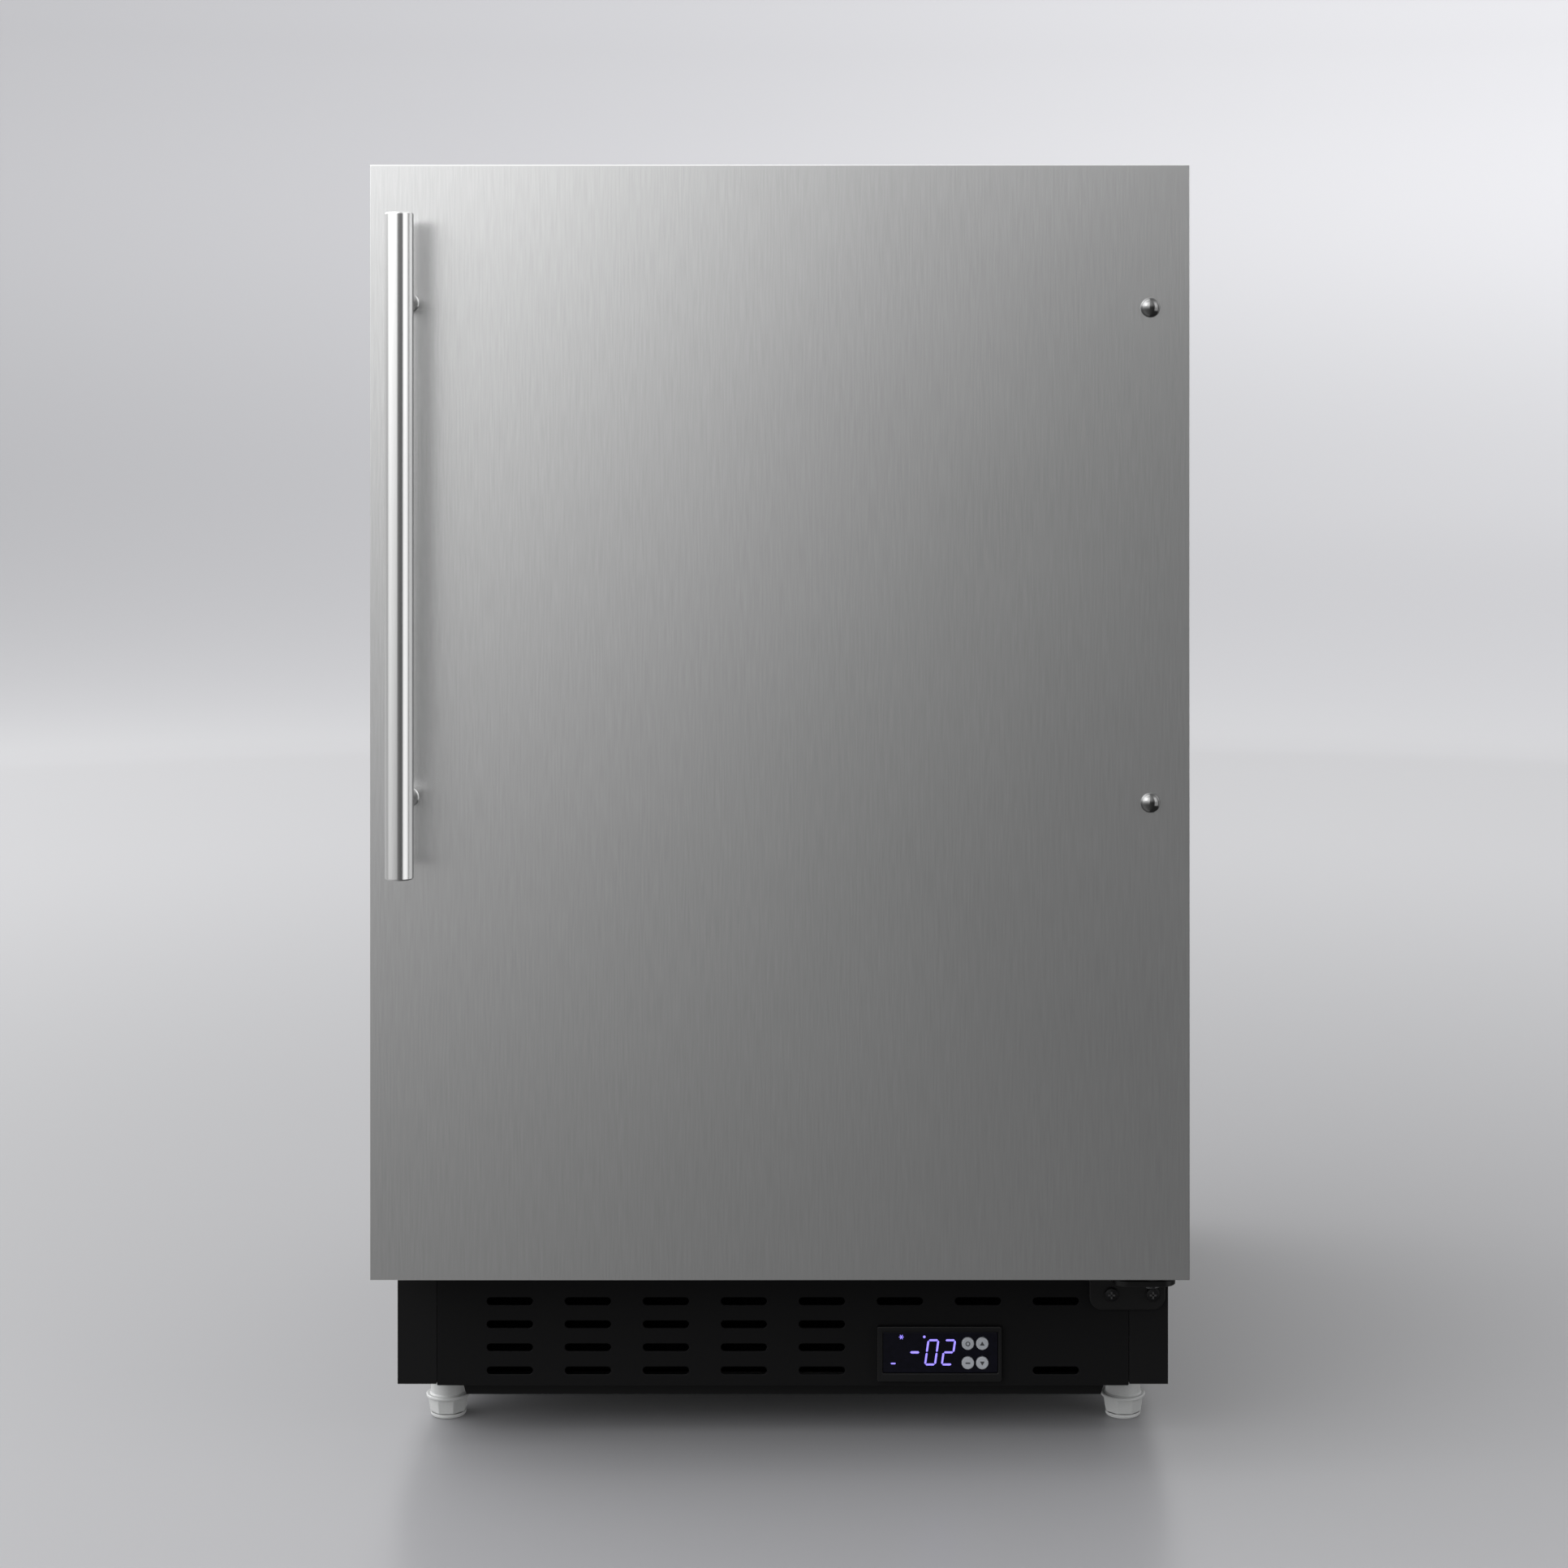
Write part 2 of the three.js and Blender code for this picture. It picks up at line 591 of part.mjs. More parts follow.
// ---------------------------------------------------------------- feet

// A threaded stud with its nut on the base pan.
function footStud(at) {
  const floor = BASE.bottom + BASE.thickness + GAP;
  const shank = bar("z", STUD_M8, at, [6, floor + 9]);
  return shank.add(bar("z", 8, at, [floor, floor + 6], 6));
}

// A moulded foot on the stud: a neck, a thin collar and an eight-sided tapered body.
function footBody(at) {
  const { neck, collar, sole } = FOOT;
  const [collarBottom, collarTop] = [12.5, 14.5];
  const taper = [[0, sole + GAP], [12.2, sole + GAP], [13.5, collarBottom + 0.5], [0, collarBottom + 0.5]];
  const upper = [
    [0, collarBottom],
    [collar, collarBottom],
    [collar, collarTop],
    [neck, collarTop],
    [neck, BASE.bottom - GAP],
    [0, BASE.bottom - GAP],
  ];
  const bore = bar("z", STUD_M8 + GAP, at, [0, BASE.bottom]);
  return turned(taper, at, 8).add(turned(upper, at)).subtract(bore);
}

// The glide disc that stands on the floor while the foot turns above it.
function footGlide(at) {
  const profile = [[0, 0], [10, 0], [11.2, 0.8], [11.4, FOOT.sole], [4, FOOT.sole], [4, 5], [0, 5]];
  return turned(profile, at);
}

for (const [place, at] of Object.entries(footPlaces)) {
  add(`foot_stud_${place}`, footStud(at), zinc);
  add(`foot_body_${place}`, footBody(at), greyPlastic);
  add(`foot_glide_${place}`, footGlide(at), greyPlastic);
}

// ---------------------------------------------------------------- shelves

const WIRE = { rim: 3, thin: 1.6, count: 7, sides: 4 };

// A rim of thick wire, two cross bars, and thin wires from front to back.
function wireShelf(z) {
  const { rim, thin, count, sides } = WIRE;
  const side = SHELF.half - rim;
  const [front, rear] = [SHELF.front + rim, SHELF.rear - rim];
  const rims = [
    ...[-side, side].map((x) => bar("y", rim, [x, z + rim], [front, rear], 6)),
    ...[front, rear].map((y) => bar("x", rim, [y, z + rim], [-side - rim, side + rim], 6)),
  ];
  const crossBars = [-20, 80].map((y) => bar("x", thin, [y, z + rim - 1], both(side), sides));
  const pitch = (2 * side) / (count + 1);
  const wires = Array.from({ length: count }, (_, i) =>
    bar("y", thin, [-side + pitch * (i + 1), z + rim + 1], [front, rear], sides),
  );
  return joined([...rims, ...crossBars, ...wires]);
}

add("wire_shelf_upper", wireShelf(SHELF.heights.upper), coatedWire);
add("wire_shelf_lower", wireShelf(SHELF.heights.lower), coatedWire);

// ---------------------------------------------------------------- cold side

// Parallel fins threaded on tubes that run across X.
function finnedCoil([x0, x1], [y0, y1], [z0, z1], fins, tubes) {
  const pitch = (x1 - x0 - 2 * tubes.reach) / (fins - 1);
  const plates = Array.from({ length: fins }, (_, i) => {
    const x = x0 + tubes.reach + pitch * i;
    return block([x - 0.8, x + 0.8], [y0, y1], [z0, z1]);
  });
  const lines = tubes.centres.map((centre) => bar("x", tubes.radius, centre, [x0, x1], 6));
  return joined([...plates, ...lines]);
}

// A motor body with a shaft that runs forwards into the fan's hub.
function fanMotor(fan, radius, [front, rear]) {
  const shaft = bar("y", 2.5, [fan.x, fan.z], [fan.front + 2, front + 1], 12);
  return bar("y", radius, [fan.x, fan.z], [front, rear]).add(shaft);
}

// Flat blades set at a pitch round a hub, which is bored for the motor's shaft.
function fanBlade({ x, z, hub, tip, front, rear }, count) {
  const middle = (front + rear) / 2;
  const thickness = 1.6;
  const pitch = Math.PI / 6;
  const chord = (rear - front) / Math.sin(pitch) - 2 * thickness;
  const blades = Array.from({ length: count }, (_, i) => {
    const geometry = new THREE.BoxGeometry(chord, thickness, tip - hub + 3);
    geometry.rotateZ(pitch).translate(0, 0, (hub + tip - 3) / 2);
    return solid(geometry.rotateY((i * Math.PI * 2) / count).translate(x, middle, z));
  });
  const core = bar("y", hub, [x, z], [front, rear]);
  return joined([core, ...blades]).subtract(bar("y", 2.5 + GAP, [x, z], [front - 1, rear + 1], 12));
}

// A shallow cover on the liner's back wall: air leaves in front of the fan, and comes back low down.
function evaporatorCover() {
  const { half, front, bottom, top } = COVER;
  const rear = LINER.rear - WALL - GAP;
  const shell = block(both(half), [front, rear], [bottom, top]);
  const hollow = block(both(half - WALL), [front + WALL, rear + 1], [bottom + WALL, top - WALL]);
  const vents = [-24, -12, 0, 12, 24].map((dz) => [EVAPORATOR_FAN.z + dz, 80]);
  const returns = [366, 378].map((z) => [z, 240]);
  const tools = [...vents, ...returns].map(([z, width]) =>
    block(both(width / 2), [front - 1, front + WALL + 1], [z - 2.5, z + 2.5]),
  );
  return cut(shell, [hollow, ...tools]);
}

const evaporatorTubes = { radius: 4, reach: 12, centres: [[215, 450], [215, 550]] };

add("evaporator", finnedCoil(both(140), [200, 230], [405, 595], 6, evaporatorTubes), aluminium);
add("evaporator_cover", evaporatorCover(), whitePlastic);
add("evaporator_fan_motor", fanMotor(EVAPORATOR_FAN, 20, [206, 236]), blackPlastic);
add("evaporator_fan_blade", fanBlade(EVAPORATOR_FAN, 5), blackPlastic);

// ---------------------------------------------------------------- machinery

const condenserTubes = { radius: 4, reach: 10, centres: [[-120, 80], [-50, 80]] };
const machineryFloor = BASE.bottom + BASE.thickness + GAP;

// The motor stands on a folded foot behind the fan.
function condenserFanMotor() {
  const [front, rear] = [150, 196];
  const { x, z } = CONDENSER_FAN;
  const post = block([x - 12, x + 12], [front + 12, front + 16], [machineryFloor, z]);
  const foot = block([x - 30, x + 30], [front + 12, rear], [machineryFloor, machineryFloor + 2]);
  return joined([fanMotor(CONDENSER_FAN, 30, [front, rear]), post, foot]);
}

// A welded steel can on a mounting plate with four rubber grommets.
function compressor() {
  const { x, y, radius, top } = COMPRESSOR;
  const can = [
    [0, 50],
    [radius * 0.8, 50],
    [radius, 64],
    [radius, 140],
    [radius * 0.95, 185],
    [radius * 0.75, top - 8],
    [radius * 0.4, top],
    [0, top],
  ];
  const mountPlate = block([x - 78, x + 78], [y - 62, y + 62], [48, 52]);
  const grommets = [-1, 1].flatMap((sx) =>
    [-1, 1].map((sy) => bar("z", 9, [x + sx * 66, y + sy * 50], [machineryFloor, 56], 8)),
  );
  return joined([turned(can, [x, y], 20), mountPlate, ...grommets]);
}

// An open tray on top of the compressor, whose warmth dries the defrost water.
function drainPan() {
  const { x, y, top } = COMPRESSOR;
  const floor = top + GAP;
  const tray = block([x - 75, x + 75], [y - 70, y + 70], [floor, floor + 30]);
  return tray.subtract(block([x - 73, x + 73], [y - 68, y + 68], [floor + 2, floor + 31]));
}

// A cable out of the compressor bay, with its moulded two-pin plug hung against the back.
function powerCord() {
  const { x, z, radius } = CORD;
  const path = new THREE.CatmullRomCurve3([
    new THREE.Vector3(x, 262, z),
    new THREE.Vector3(x, 292, z),
    new THREE.Vector3(x + 5, 303, z + 8),
    new THREE.Vector3(x + 40, 303.5, z + 70),
    new THREE.Vector3(x + 110, 303.5, z - 20),
    new THREE.Vector3(x + 180, 303.5, z + 70),
    new THREE.Vector3(x + 182, 303.5, z + 150),
  ]);
  const section = new THREE.Shape().absarc(0, 0, radius, 0, Math.PI * 2);
  const options = { steps: 26, curveSegments: 3, extrudePath: path, bevelEnabled: false };
  const cable = solid(new THREE.ExtrudeGeometry(section, options));
  const plugX = x + 182;
  const plug = block([plugX - 12, plugX + 12], [297.5, 309.5], [z + 140, z + 172]);
  const pins = [-1, 1].map((side) => {
    const pinX = plugX + side * 6.5;
    return block([pinX - 0.8, pinX + 0.8], [300.5, 306.5], [z + 170, z + 189]);
  });
  return joined([cable, plug, ...pins]);
}

add("condenser", finnedCoil([-200, -20], [-150, -20], [52, 108], 6, condenserTubes), blackPaint);
add("condenser_fan_motor", condenserFanMotor(), blackPaint);
add("condenser_fan_blade", fanBlade(CONDENSER_FAN, 5), aluminium);
add("compressor", compressor(), blackPaint);
add("drain_pan", drainPan(), blackPlastic);
add("power_cord", powerCord(), rubber);

export default refrigerator;
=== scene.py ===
"""Looks of the undercounter refrigerator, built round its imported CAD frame.

Metres. The front faces -Y, and +Z is up.
"""

import json
import math

import bmesh
import bpy
from mathutils import Matrix, Vector


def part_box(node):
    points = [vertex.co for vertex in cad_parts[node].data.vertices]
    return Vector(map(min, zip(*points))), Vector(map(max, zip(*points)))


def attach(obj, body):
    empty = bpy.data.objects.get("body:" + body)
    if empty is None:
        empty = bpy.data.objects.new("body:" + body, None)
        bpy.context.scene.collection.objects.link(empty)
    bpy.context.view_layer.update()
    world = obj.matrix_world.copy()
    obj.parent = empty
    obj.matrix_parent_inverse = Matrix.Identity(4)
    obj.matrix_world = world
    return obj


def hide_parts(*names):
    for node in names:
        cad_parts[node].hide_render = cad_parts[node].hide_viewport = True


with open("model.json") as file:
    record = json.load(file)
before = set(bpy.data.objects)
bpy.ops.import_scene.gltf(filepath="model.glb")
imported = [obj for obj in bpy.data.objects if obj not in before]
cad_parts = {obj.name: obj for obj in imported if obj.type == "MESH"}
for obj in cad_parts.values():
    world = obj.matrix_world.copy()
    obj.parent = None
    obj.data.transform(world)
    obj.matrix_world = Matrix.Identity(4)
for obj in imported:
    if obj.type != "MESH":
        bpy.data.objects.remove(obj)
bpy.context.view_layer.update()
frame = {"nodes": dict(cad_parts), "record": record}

MM = 0.001
ENDS = ("upper", "lower")
FEET = ("front_left", "front_right", "rear_left", "rear_right")
NODE_SLOT = {row["node"]: row["material_slot"] for row in frame["record"]["subparts"]}


# ---------------------------------------------------------------- materials


def add_node(tree, kind, inputs=None, **settings):
    """A node with its settings, and inputs that are each a value or another node's socket."""
    made = tree.nodes.new(kind)
    for key, value in settings.items():
        setattr(made, key, value)
    for key, value in (inputs or {}).items():
        if isinstance(value, bpy.types.NodeSocket):
            tree.links.new(value, made.inputs[key])
        else:
            made.inputs[key].default_value = value
    return made


def noise(tree, scale, stretch=(1, 1, 1), detail=3.0, kind="noise"):
    """A noise or cell pattern in the piece's own metres, stretched along its axes, as a 0 to 1 socket."""
    place = add_node(tree, "ShaderNodeTexCoord").outputs["Object"]
    mapped = add_node(tree, "ShaderNodeMapping", {"Vector": place, "Scale": stretch}).outputs["Vector"]
    if kind == "cells":
        return add_node(tree, "ShaderNodeTexVoronoi", {"Vector": mapped, "Scale": scale}).outputs["Distance"]
    inputs = {"Vector": mapped, "Scale": scale, "Detail": detail, "Roughness": 0.6}
    return add_node(tree, "ShaderNodeTexNoise", inputs).outputs["Fac"]


def ranged(tree, value, low, high, start=0.3, end=0.7):
    """A pattern's middle band, start to end, stretched to low and high."""
    inputs = {"Value": value, "From Min": start, "From Max": end, "To Min": low, "To Max": high}
    return add_node(tree, "ShaderNodeMapRange", inputs).outputs["Result"]


def shade(color, factor):
    """A color made darker or lighter, as four numbers."""
    return tuple(min(1.0, c * factor) for c in color[:3]) + (1.0,)


def edge_mask(tree, radius):
    """1 on edges and corners within the radius, 0 on flat faces."""
    geometry = add_node(tree, "ShaderNodeNewGeometry").outputs["Normal"]
    soft = add_node(tree, "ShaderNodeBevel", {"Radius": radius}, samples=4).outputs["Normal"]
    dot = add_node(tree, "ShaderNodeVectorMath", {0: geometry, 1: soft}, operation="DOT_PRODUCT")
    return ranged(tree, dot.outputs["Value"], 1.0, 0.0, 0.82, 0.99)


def surface(name, color, roughness, metallic=0.0, scale=900.0, stretch=(1, 1, 1), tint=0.06, rough=0.06,
            bump=0.12, depth=0.0001, coarse=14.0, wear=None, kind="noise", **sockets):
    """A Principled material: a fine pattern for grain, a coarse one for smudges, and wear for rubbed edges.

    wear is a radius and a color. Further arguments are shader inputs by name, with _ for a space.
    """
    material = bpy.data.materials.new(name)
    material.use_nodes = True
    tree = material.node_tree
    bsdf = tree.nodes["Principled BSDF"]
    fine = noise(tree, scale, stretch, kind=kind)
    broad = noise(tree, coarse, detail=4.0)
    dark, light = shade(color, 1 - tint), shade(color, 1 + tint)
    mixed = mix_color(tree, ranged(tree, fine, 0.0, 1.0), dark, light)
    mixed = mix_color(tree, ranged(tree, broad, 0.0, 0.35), mixed, shade(color, 1 - 1.5 * tint))
    rough_fine = ranged(tree, fine, roughness - rough / 2, roughness + rough / 2)
    total = add_node(tree, "ShaderNodeMath", {0: rough_fine, 1: ranged(tree, broad, -rough, rough)})
    if wear:
        mixed = mix_color(tree, edge_mask(tree, wear[0]), mixed, shade(wear[1], 1))
    tree.links.new(mixed, bsdf.inputs["Base Color"])
    tree.links.new(total.outputs["Value"], bsdf.inputs["Roughness"])
    bumped = add_node(tree, "ShaderNodeBump", {"Height": fine, "Strength": bump, "Distance": depth})
    tree.links.new(bumped.outputs["Normal"], bsdf.inputs["Normal"])
    bsdf.inputs["Metallic"].default_value = metallic
    for socket, value in sockets.items():
        bsdf.inputs[socket.replace("_", " ")].default_value = value
    return material


def mix_color(tree, factor, a, b):
    """A color socket between a and b, which are each a color or a socket."""
    mix = tree.nodes.new("ShaderNodeMix")
    mix.data_type = "RGBA"
    tree.links.new(factor, mix.inputs[0])
    for socket, value in ((mix.inputs[6], a), (mix.inputs[7], b)):
        if isinstance(value, bpy.types.NodeSocket):
            tree.links.new(value, socket)
        else:
            socket.default_value = value
    return mix.outputs[2]


def brushed_steel(name, color, roughness, stretch, grain, anisotropy, tint):
    """Steel with fine streaks, faint smudges, and a highlight smeared across the streaks."""
    material = bpy.data.materials.new(name)
    material.use_nodes = True
    tree = material.node_tree
    bsdf = tree.nodes["Principled BSDF"]
    streaks = noise(tree, grain, stretch, detail=1.0)
    mixed = mix_color(tree, ranged(tree, streaks, 0.0, 1.0), shade(color, 1 - tint), shade(color, 1 + tint))
    smudge = 0.006
    smudges = ranged(tree, noise(tree, 6.0, detail=2.0), roughness - smudge, roughness + smudge)
    tangent = add_node(tree, "ShaderNodeTangent", direction_type="RADIAL", axis="Z")
    tree.links.new(mixed, bsdf.inputs["Base Color"])
    tree.links.new(smudges, bsdf.inputs["Roughness"])
    tree.links.new(tangent.outputs["Tangent"], bsdf.inputs["Tangent"])
    bsdf.inputs["Metallic"].default_value = 1.0
    bsdf.inputs["Anisotropic"].default_value = anisotropy
    return material


def glowing(name, color, strength):
    """A lit display segment, a little uneven across its face."""
    material = bpy.data.materials.new(name)
    material.use_nodes = True
    tree = material.node_tree
    bsdf = tree.nodes["Principled BSDF"]
    bsdf.inputs["Base Color"].default_value = shade(color, 0.2)
    bsdf.inputs["Roughness"].default_value = 0.3
    bsdf.inputs["Emission Strength"].default_value = strength
    uneven = mix_color(tree, ranged(tree, noise(tree, 700.0), 0.0, 1.0), shade(color, 0.8), shade(color, 1.0))
    tree.links.new(uneven, bsdf.inputs["Emission Color"])
    return material


VERTICAL = (1.0, 1.0, 0.04)  # stretches a pattern into upright streaks

MATERIALS = {
    "door_stainless": brushed_steel("door_stainless", (0.598, 0.6, 0.601), 0.24, VERTICAL, 1000.0, 0.5,
                                    0.035),
    "handle_steel": brushed_steel("handle_steel", (0.68, 0.68, 0.68), 0.17, VERTICAL, 1400.0, 0.3, 0.015),
    "plug_chrome": surface("plug_chrome", (0.16, 0.16, 0.16), 0.12, 1.0, bump=0.03),
    "cabinet_black": surface("cabinet_black", (0.0034, 0.0034, 0.0036), 0.43, scale=2600.0, tint=0.05,
                             rough=0.006, bump=0.1, wear=(0.0006, (0.007, 0.007, 0.007)),
                             Specular_IOR_Level=0.11),
    "kick_black": surface("kick_black", (0.0030, 0.0030, 0.0032), 0.48, scale=2600.0, tint=0.2, bump=0.12,
                          rough=0.015, Specular_IOR_Level=0.08),
    "zinc_steel": surface("zinc_steel", (0.62, 0.635, 0.645), 0.36, 0.9, scale=130.0, tint=0.03, rough=0.016,
                          bump=0.02, kind="cells"),
    "screw_zinc": surface("screw_zinc", (0.42, 0.43, 0.44), 0.3, 1.0, scale=1500.0, tint=0.1, bump=0.1),
    "hinge_black": surface("hinge_black", (0.0035, 0.0035, 0.0036), 0.4, scale=1500.0, tint=0.3, bump=0.15,
                           wear=(0.0005, (0.012, 0.012, 0.012)), Specular_IOR_Level=0.2),
    "hinge_pin_steel": surface("hinge_pin_steel", (0.05, 0.05, 0.052), 0.3, 1.0, scale=1200.0, bump=0.06,
                               wear=(0.0004, (0.35, 0.35, 0.36))),
    "screw_steel": surface("screw_steel", (0.006, 0.006, 0.0064), 0.42, 0.3, scale=1500.0, tint=0.2,
                           bump=0.15, wear=(0.0004, (0.016, 0.016, 0.016)), Specular_IOR_Level=0.15),
    "liner_white": surface("liner_white", (0.52, 0.53, 0.535), 0.34, scale=260.0, tint=0.006, rough=0.02,
                           bump=0.02, depth=0.0003, Coat_Weight=0.15),
    "shelf_wire": surface("shelf_wire", (0.66, 0.67, 0.68), 0.3, scale=1100.0, tint=0.03, bump=0.12,
                          Coat_Weight=0.3),
    "foam_core": surface("foam_core", (0.80, 0.68, 0.38), 0.95, scale=700.0, tint=0.18, bump=0.8,
                         depth=0.0006, kind="cells"),
    "seal_rubber": surface("seal_rubber", (0.022, 0.022, 0.023), 0.6, scale=1600.0, tint=0.2, bump=0.15),
    "cap_plastic": surface("cap_plastic", (0.014, 0.014, 0.015), 0.45, scale=3200.0, tint=0.2, bump=0.3),
    "bush_nylon": surface("bush_nylon", (0.012, 0.012, 0.013), 0.45, scale=900.0, tint=0.04, bump=0.08),
    "controller_black": surface("controller_black", (0.0030, 0.0030, 0.0032), 0.42, scale=3600.0, tint=0.2,
                                bump=0.15, Specular_IOR_Level=0.16),
    "controller_lens": surface("controller_lens", (0.0015, 0.0015, 0.004), 0.2, scale=300.0, tint=0.3,
                               rough=0.04, bump=0.02, Specular_IOR_Level=0.2),
    "button_grey": surface("button_grey", (0.24, 0.25, 0.27), 0.5, scale=2600.0, tint=0.05, bump=0.15),
    "foot_grey": surface("foot_grey", (0.34, 0.345, 0.345), 0.45, scale=1300.0, tint=0.06, bump=0.12,
                         wear=(0.0006, (0.46, 0.465, 0.465))),
    "coil_aluminium": surface("coil_aluminium", (0.72, 0.73, 0.74), 0.3, 1.0, scale=700.0, bump=0.06),
    "coil_black": surface("coil_black", (0.02, 0.02, 0.021), 0.5, scale=1800.0, tint=0.3, bump=0.25),
    "compressor_black": surface("compressor_black", (0.014, 0.014, 0.015), 0.28, scale=500.0, tint=0.25,
                                bump=0.12, depth=0.0003, Coat_Weight=0.4),
    "cord_rubber": surface("cord_rubber", (0.018, 0.018, 0.019), 0.55, scale=1800.0, tint=0.2, bump=0.15),
    "rack_clear": surface("rack_clear", (0.86, 0.91, 0.94), 0.08, scale=220.0, tint=0.02, rough=0.03,
                          bump=0.03, Transmission_Weight=0.85, IOR=1.45),
    "button_mark": surface("button_mark", (0.02, 0.02, 0.024), 0.5, scale=2600.0, tint=0.2, bump=0.1),
    "display_violet": glowing("display_violet", (0.30, 0.24, 1.0), 1.5),
    # Painted shade: a near-black sheet without specular that stands in for the shade behind the kick's slots.
    "shade_sheet_black": surface("shade_sheet_black", (0.0008, 0.0008, 0.0008), 0.95, scale=700.0, tint=0.4, bump=0.6,
                            depth=0.0005, kind="cells", Specular_IOR_Level=0.0),
}


# ---------------------------------------------------------------- mesh tools


def place(name, mesh, body, slot, replaces=(), material=None):
    """Makes a piece from a mesh, riding on a body. Its finish is its slot's, or another material's."""
    piece = bpy.data.objects.new(name, mesh)
    bpy.context.scene.collection.objects.link(piece)
    mesh.materials.append(MATERIALS[material or slot])
    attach(piece, body)
    if replaces:
        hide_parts(*replaces)
    piece.modifiers.new("normals", "WEIGHTED_NORMAL").keep_sharp = True
    return piece


def to_mesh(bm, name="made", sharp=35.0, recalculate=True):
    """A bmesh as a smooth mesh, with its edges sharp where they turn by more than an angle in degrees."""
    if recalculate:
        bmesh.ops.recalc_face_normals(bm, faces=bm.faces)
    mesh = bpy.data.meshes.new(name)
    bm.to_mesh(mesh)
    bm.free()
    mesh.shade_smooth()
    mesh.set_sharp_from_angle(angle=math.radians(sharp))
    return mesh


def merged(*meshes):
    """Several meshes as one."""
    bm = bmesh.new()
    for mesh in meshes:
        bm.from_mesh(mesh)
    return to_mesh(bm)


def round_edges(bm, width, segments=3, edges=None):
    """Rounds the given edges, or else every edge that turns by more than 40 degrees."""
    if edges is None:
        edges = [e for e in bm.edges if e.calc_face_angle(0) > math.radians(40)]
    bmesh.ops.bevel(bm, geom=edges, offset=width, segments=segments, affect="EDGES", profile=0.5,
                    clamp_overlap=True)


def block_mesh(low, high, width=0.0005, segments=2):
    """A box between two corners with rounded edges."""
    bm = bmesh.new()
    bmesh.ops.create_cube(bm, size=1.0)
    for v in bm.verts:
        v.co = Vector(low[i] + (v.co[i] + 0.5) * (high[i] - low[i]) for i in range(3))
    if width:
        round_edges(bm, width, segments)
    return to_mesh(bm)


def turned_mesh(profile, origin, axis="Z", sides=48, twist=0.0):
    """A solid of revolution. Each point of the profile is (radius, distance along the axis)."""
    bm = bmesh.new()
    rings = []
    for radius, height in profile:
        if radius < 1e-7:
            rings.append([bm.verts.new((0, 0, height))])
            continue
        angles = [twist + 2 * math.pi * i / sides for i in range(sides)]
        rings.append([bm.verts.new((radius * math.cos(a), radius * math.sin(a), height)) for a in angles])
    for lower, upper in zip(rings, rings[1:]):
        for i in range(sides):
            j = (i + 1) % sides
            corners = [lower[i % len(lower)], lower[j % len(lower)],
                       upper[j % len(upper)], upper[i % len(upper)]]
            corners = list(dict.fromkeys(corners))  # a ring on the axis is one point
            if len(corners) > 2:
                bm.faces.new(corners)
    turn = {"Z": Matrix.Identity(4), "Y": Matrix.Rotation(-math.pi / 2, 4, "X"),
            "-Y": Matrix.Rotation(math.pi / 2, 4, "X"), "X": Matrix.Rotation(math.pi / 2, 4, "Y")}[axis]
    bmesh.ops.transform(bm, matrix=Matrix.Translation(Vector(origin)) @ turn, verts=bm.verts)
    return to_mesh(bm)


def arc(centre, radius, start, end, steps=6):
    """Points of a (radius, height) or (x, z) profile along an arc, angles in degrees."""
    angles = [math.radians(start + (end - start) * i / steps) for i in range(steps + 1)]
    return [(centre[0] + radius * math.cos(a), centre[1] + radius * math.sin(a)) for a in angles]


def flat_mesh(outline, holes, span, edge=0.0, axis="Y"):
    """A flat outline with holes, thick along Y or Z between the span's two ends, its edges rounded."""
    curve = bpy.data.curves.new("outline", "CURVE")
    curve.dimensions, curve.fill_mode = "2D", "BOTH"
    curve.extrude = (span[1] - span[0]) / 2 - edge
    curve.bevel_depth, curve.bevel_resolution, curve.offset = edge, 2, -edge
    for points in [outline, *holes]:
        spline = curve.splines.new("POLY")
        spline.points.add(len(points) - 1)
        spline.use_cyclic_u = True
        for point, (u, v) in zip(spline.points, points):
            point.co = (u, v, 0, 1)
    holder = bpy.data.objects.new("outline", curve)
    bpy.context.scene.collection.objects.link(holder)
    bpy.context.view_layer.update()
    graph = bpy.context.evaluated_depsgraph_get()
    mesh = bpy.data.meshes.new_from_object(holder.evaluated_get(graph), depsgraph=graph)
    bpy.data.objects.remove(holder)
    middle = (span[0] + span[1]) / 2
    if axis == "Y":
        mesh.transform(Matrix.Translation((0, middle, 0)) @ Matrix.Rotation(math.pi / 2, 4, "X"))
    else:
        mesh.transform(Matrix.Translation((0, 0, middle)))
    bm = bmesh.new()
    bm.from_mesh(mesh)
    bmesh.ops.remove_doubles(bm, verts=bm.verts, dist=1e-6)
    return to_mesh(bm)


def slot_outline(x, z, length, height, steps=8):
    """A level slot with round ends, drawn in X and Z."""
    radius = height / 2
    reach = length / 2 - radius
    return arc((x + reach, z), radius, -90, 90, steps) + arc((x - reach, z), radius, 90, 270, steps)


def circle_outline(x, z, radius, steps=28):
    """A circle drawn in X and Z."""
    return arc((x, z), radius, 0, 360 - 360 / steps, steps - 1)


def rounded_rectangle(left, right, bottom, top, radius, steps=5):
    """A rectangle with round corners, drawn in X and Z."""
    corners = ((right, bottom, -90), (right, top, 0), (left, top, 90), (left, bottom, 180))
    points = []
    for x, z, start in corners:
        centre = (x - math.copysign(radius, x - (left + right) / 2),
                  z - math.copysign(radius, z - (bottom + top) / 2))
        points += arc(centre, radius, start, start + 90, steps)
    return points


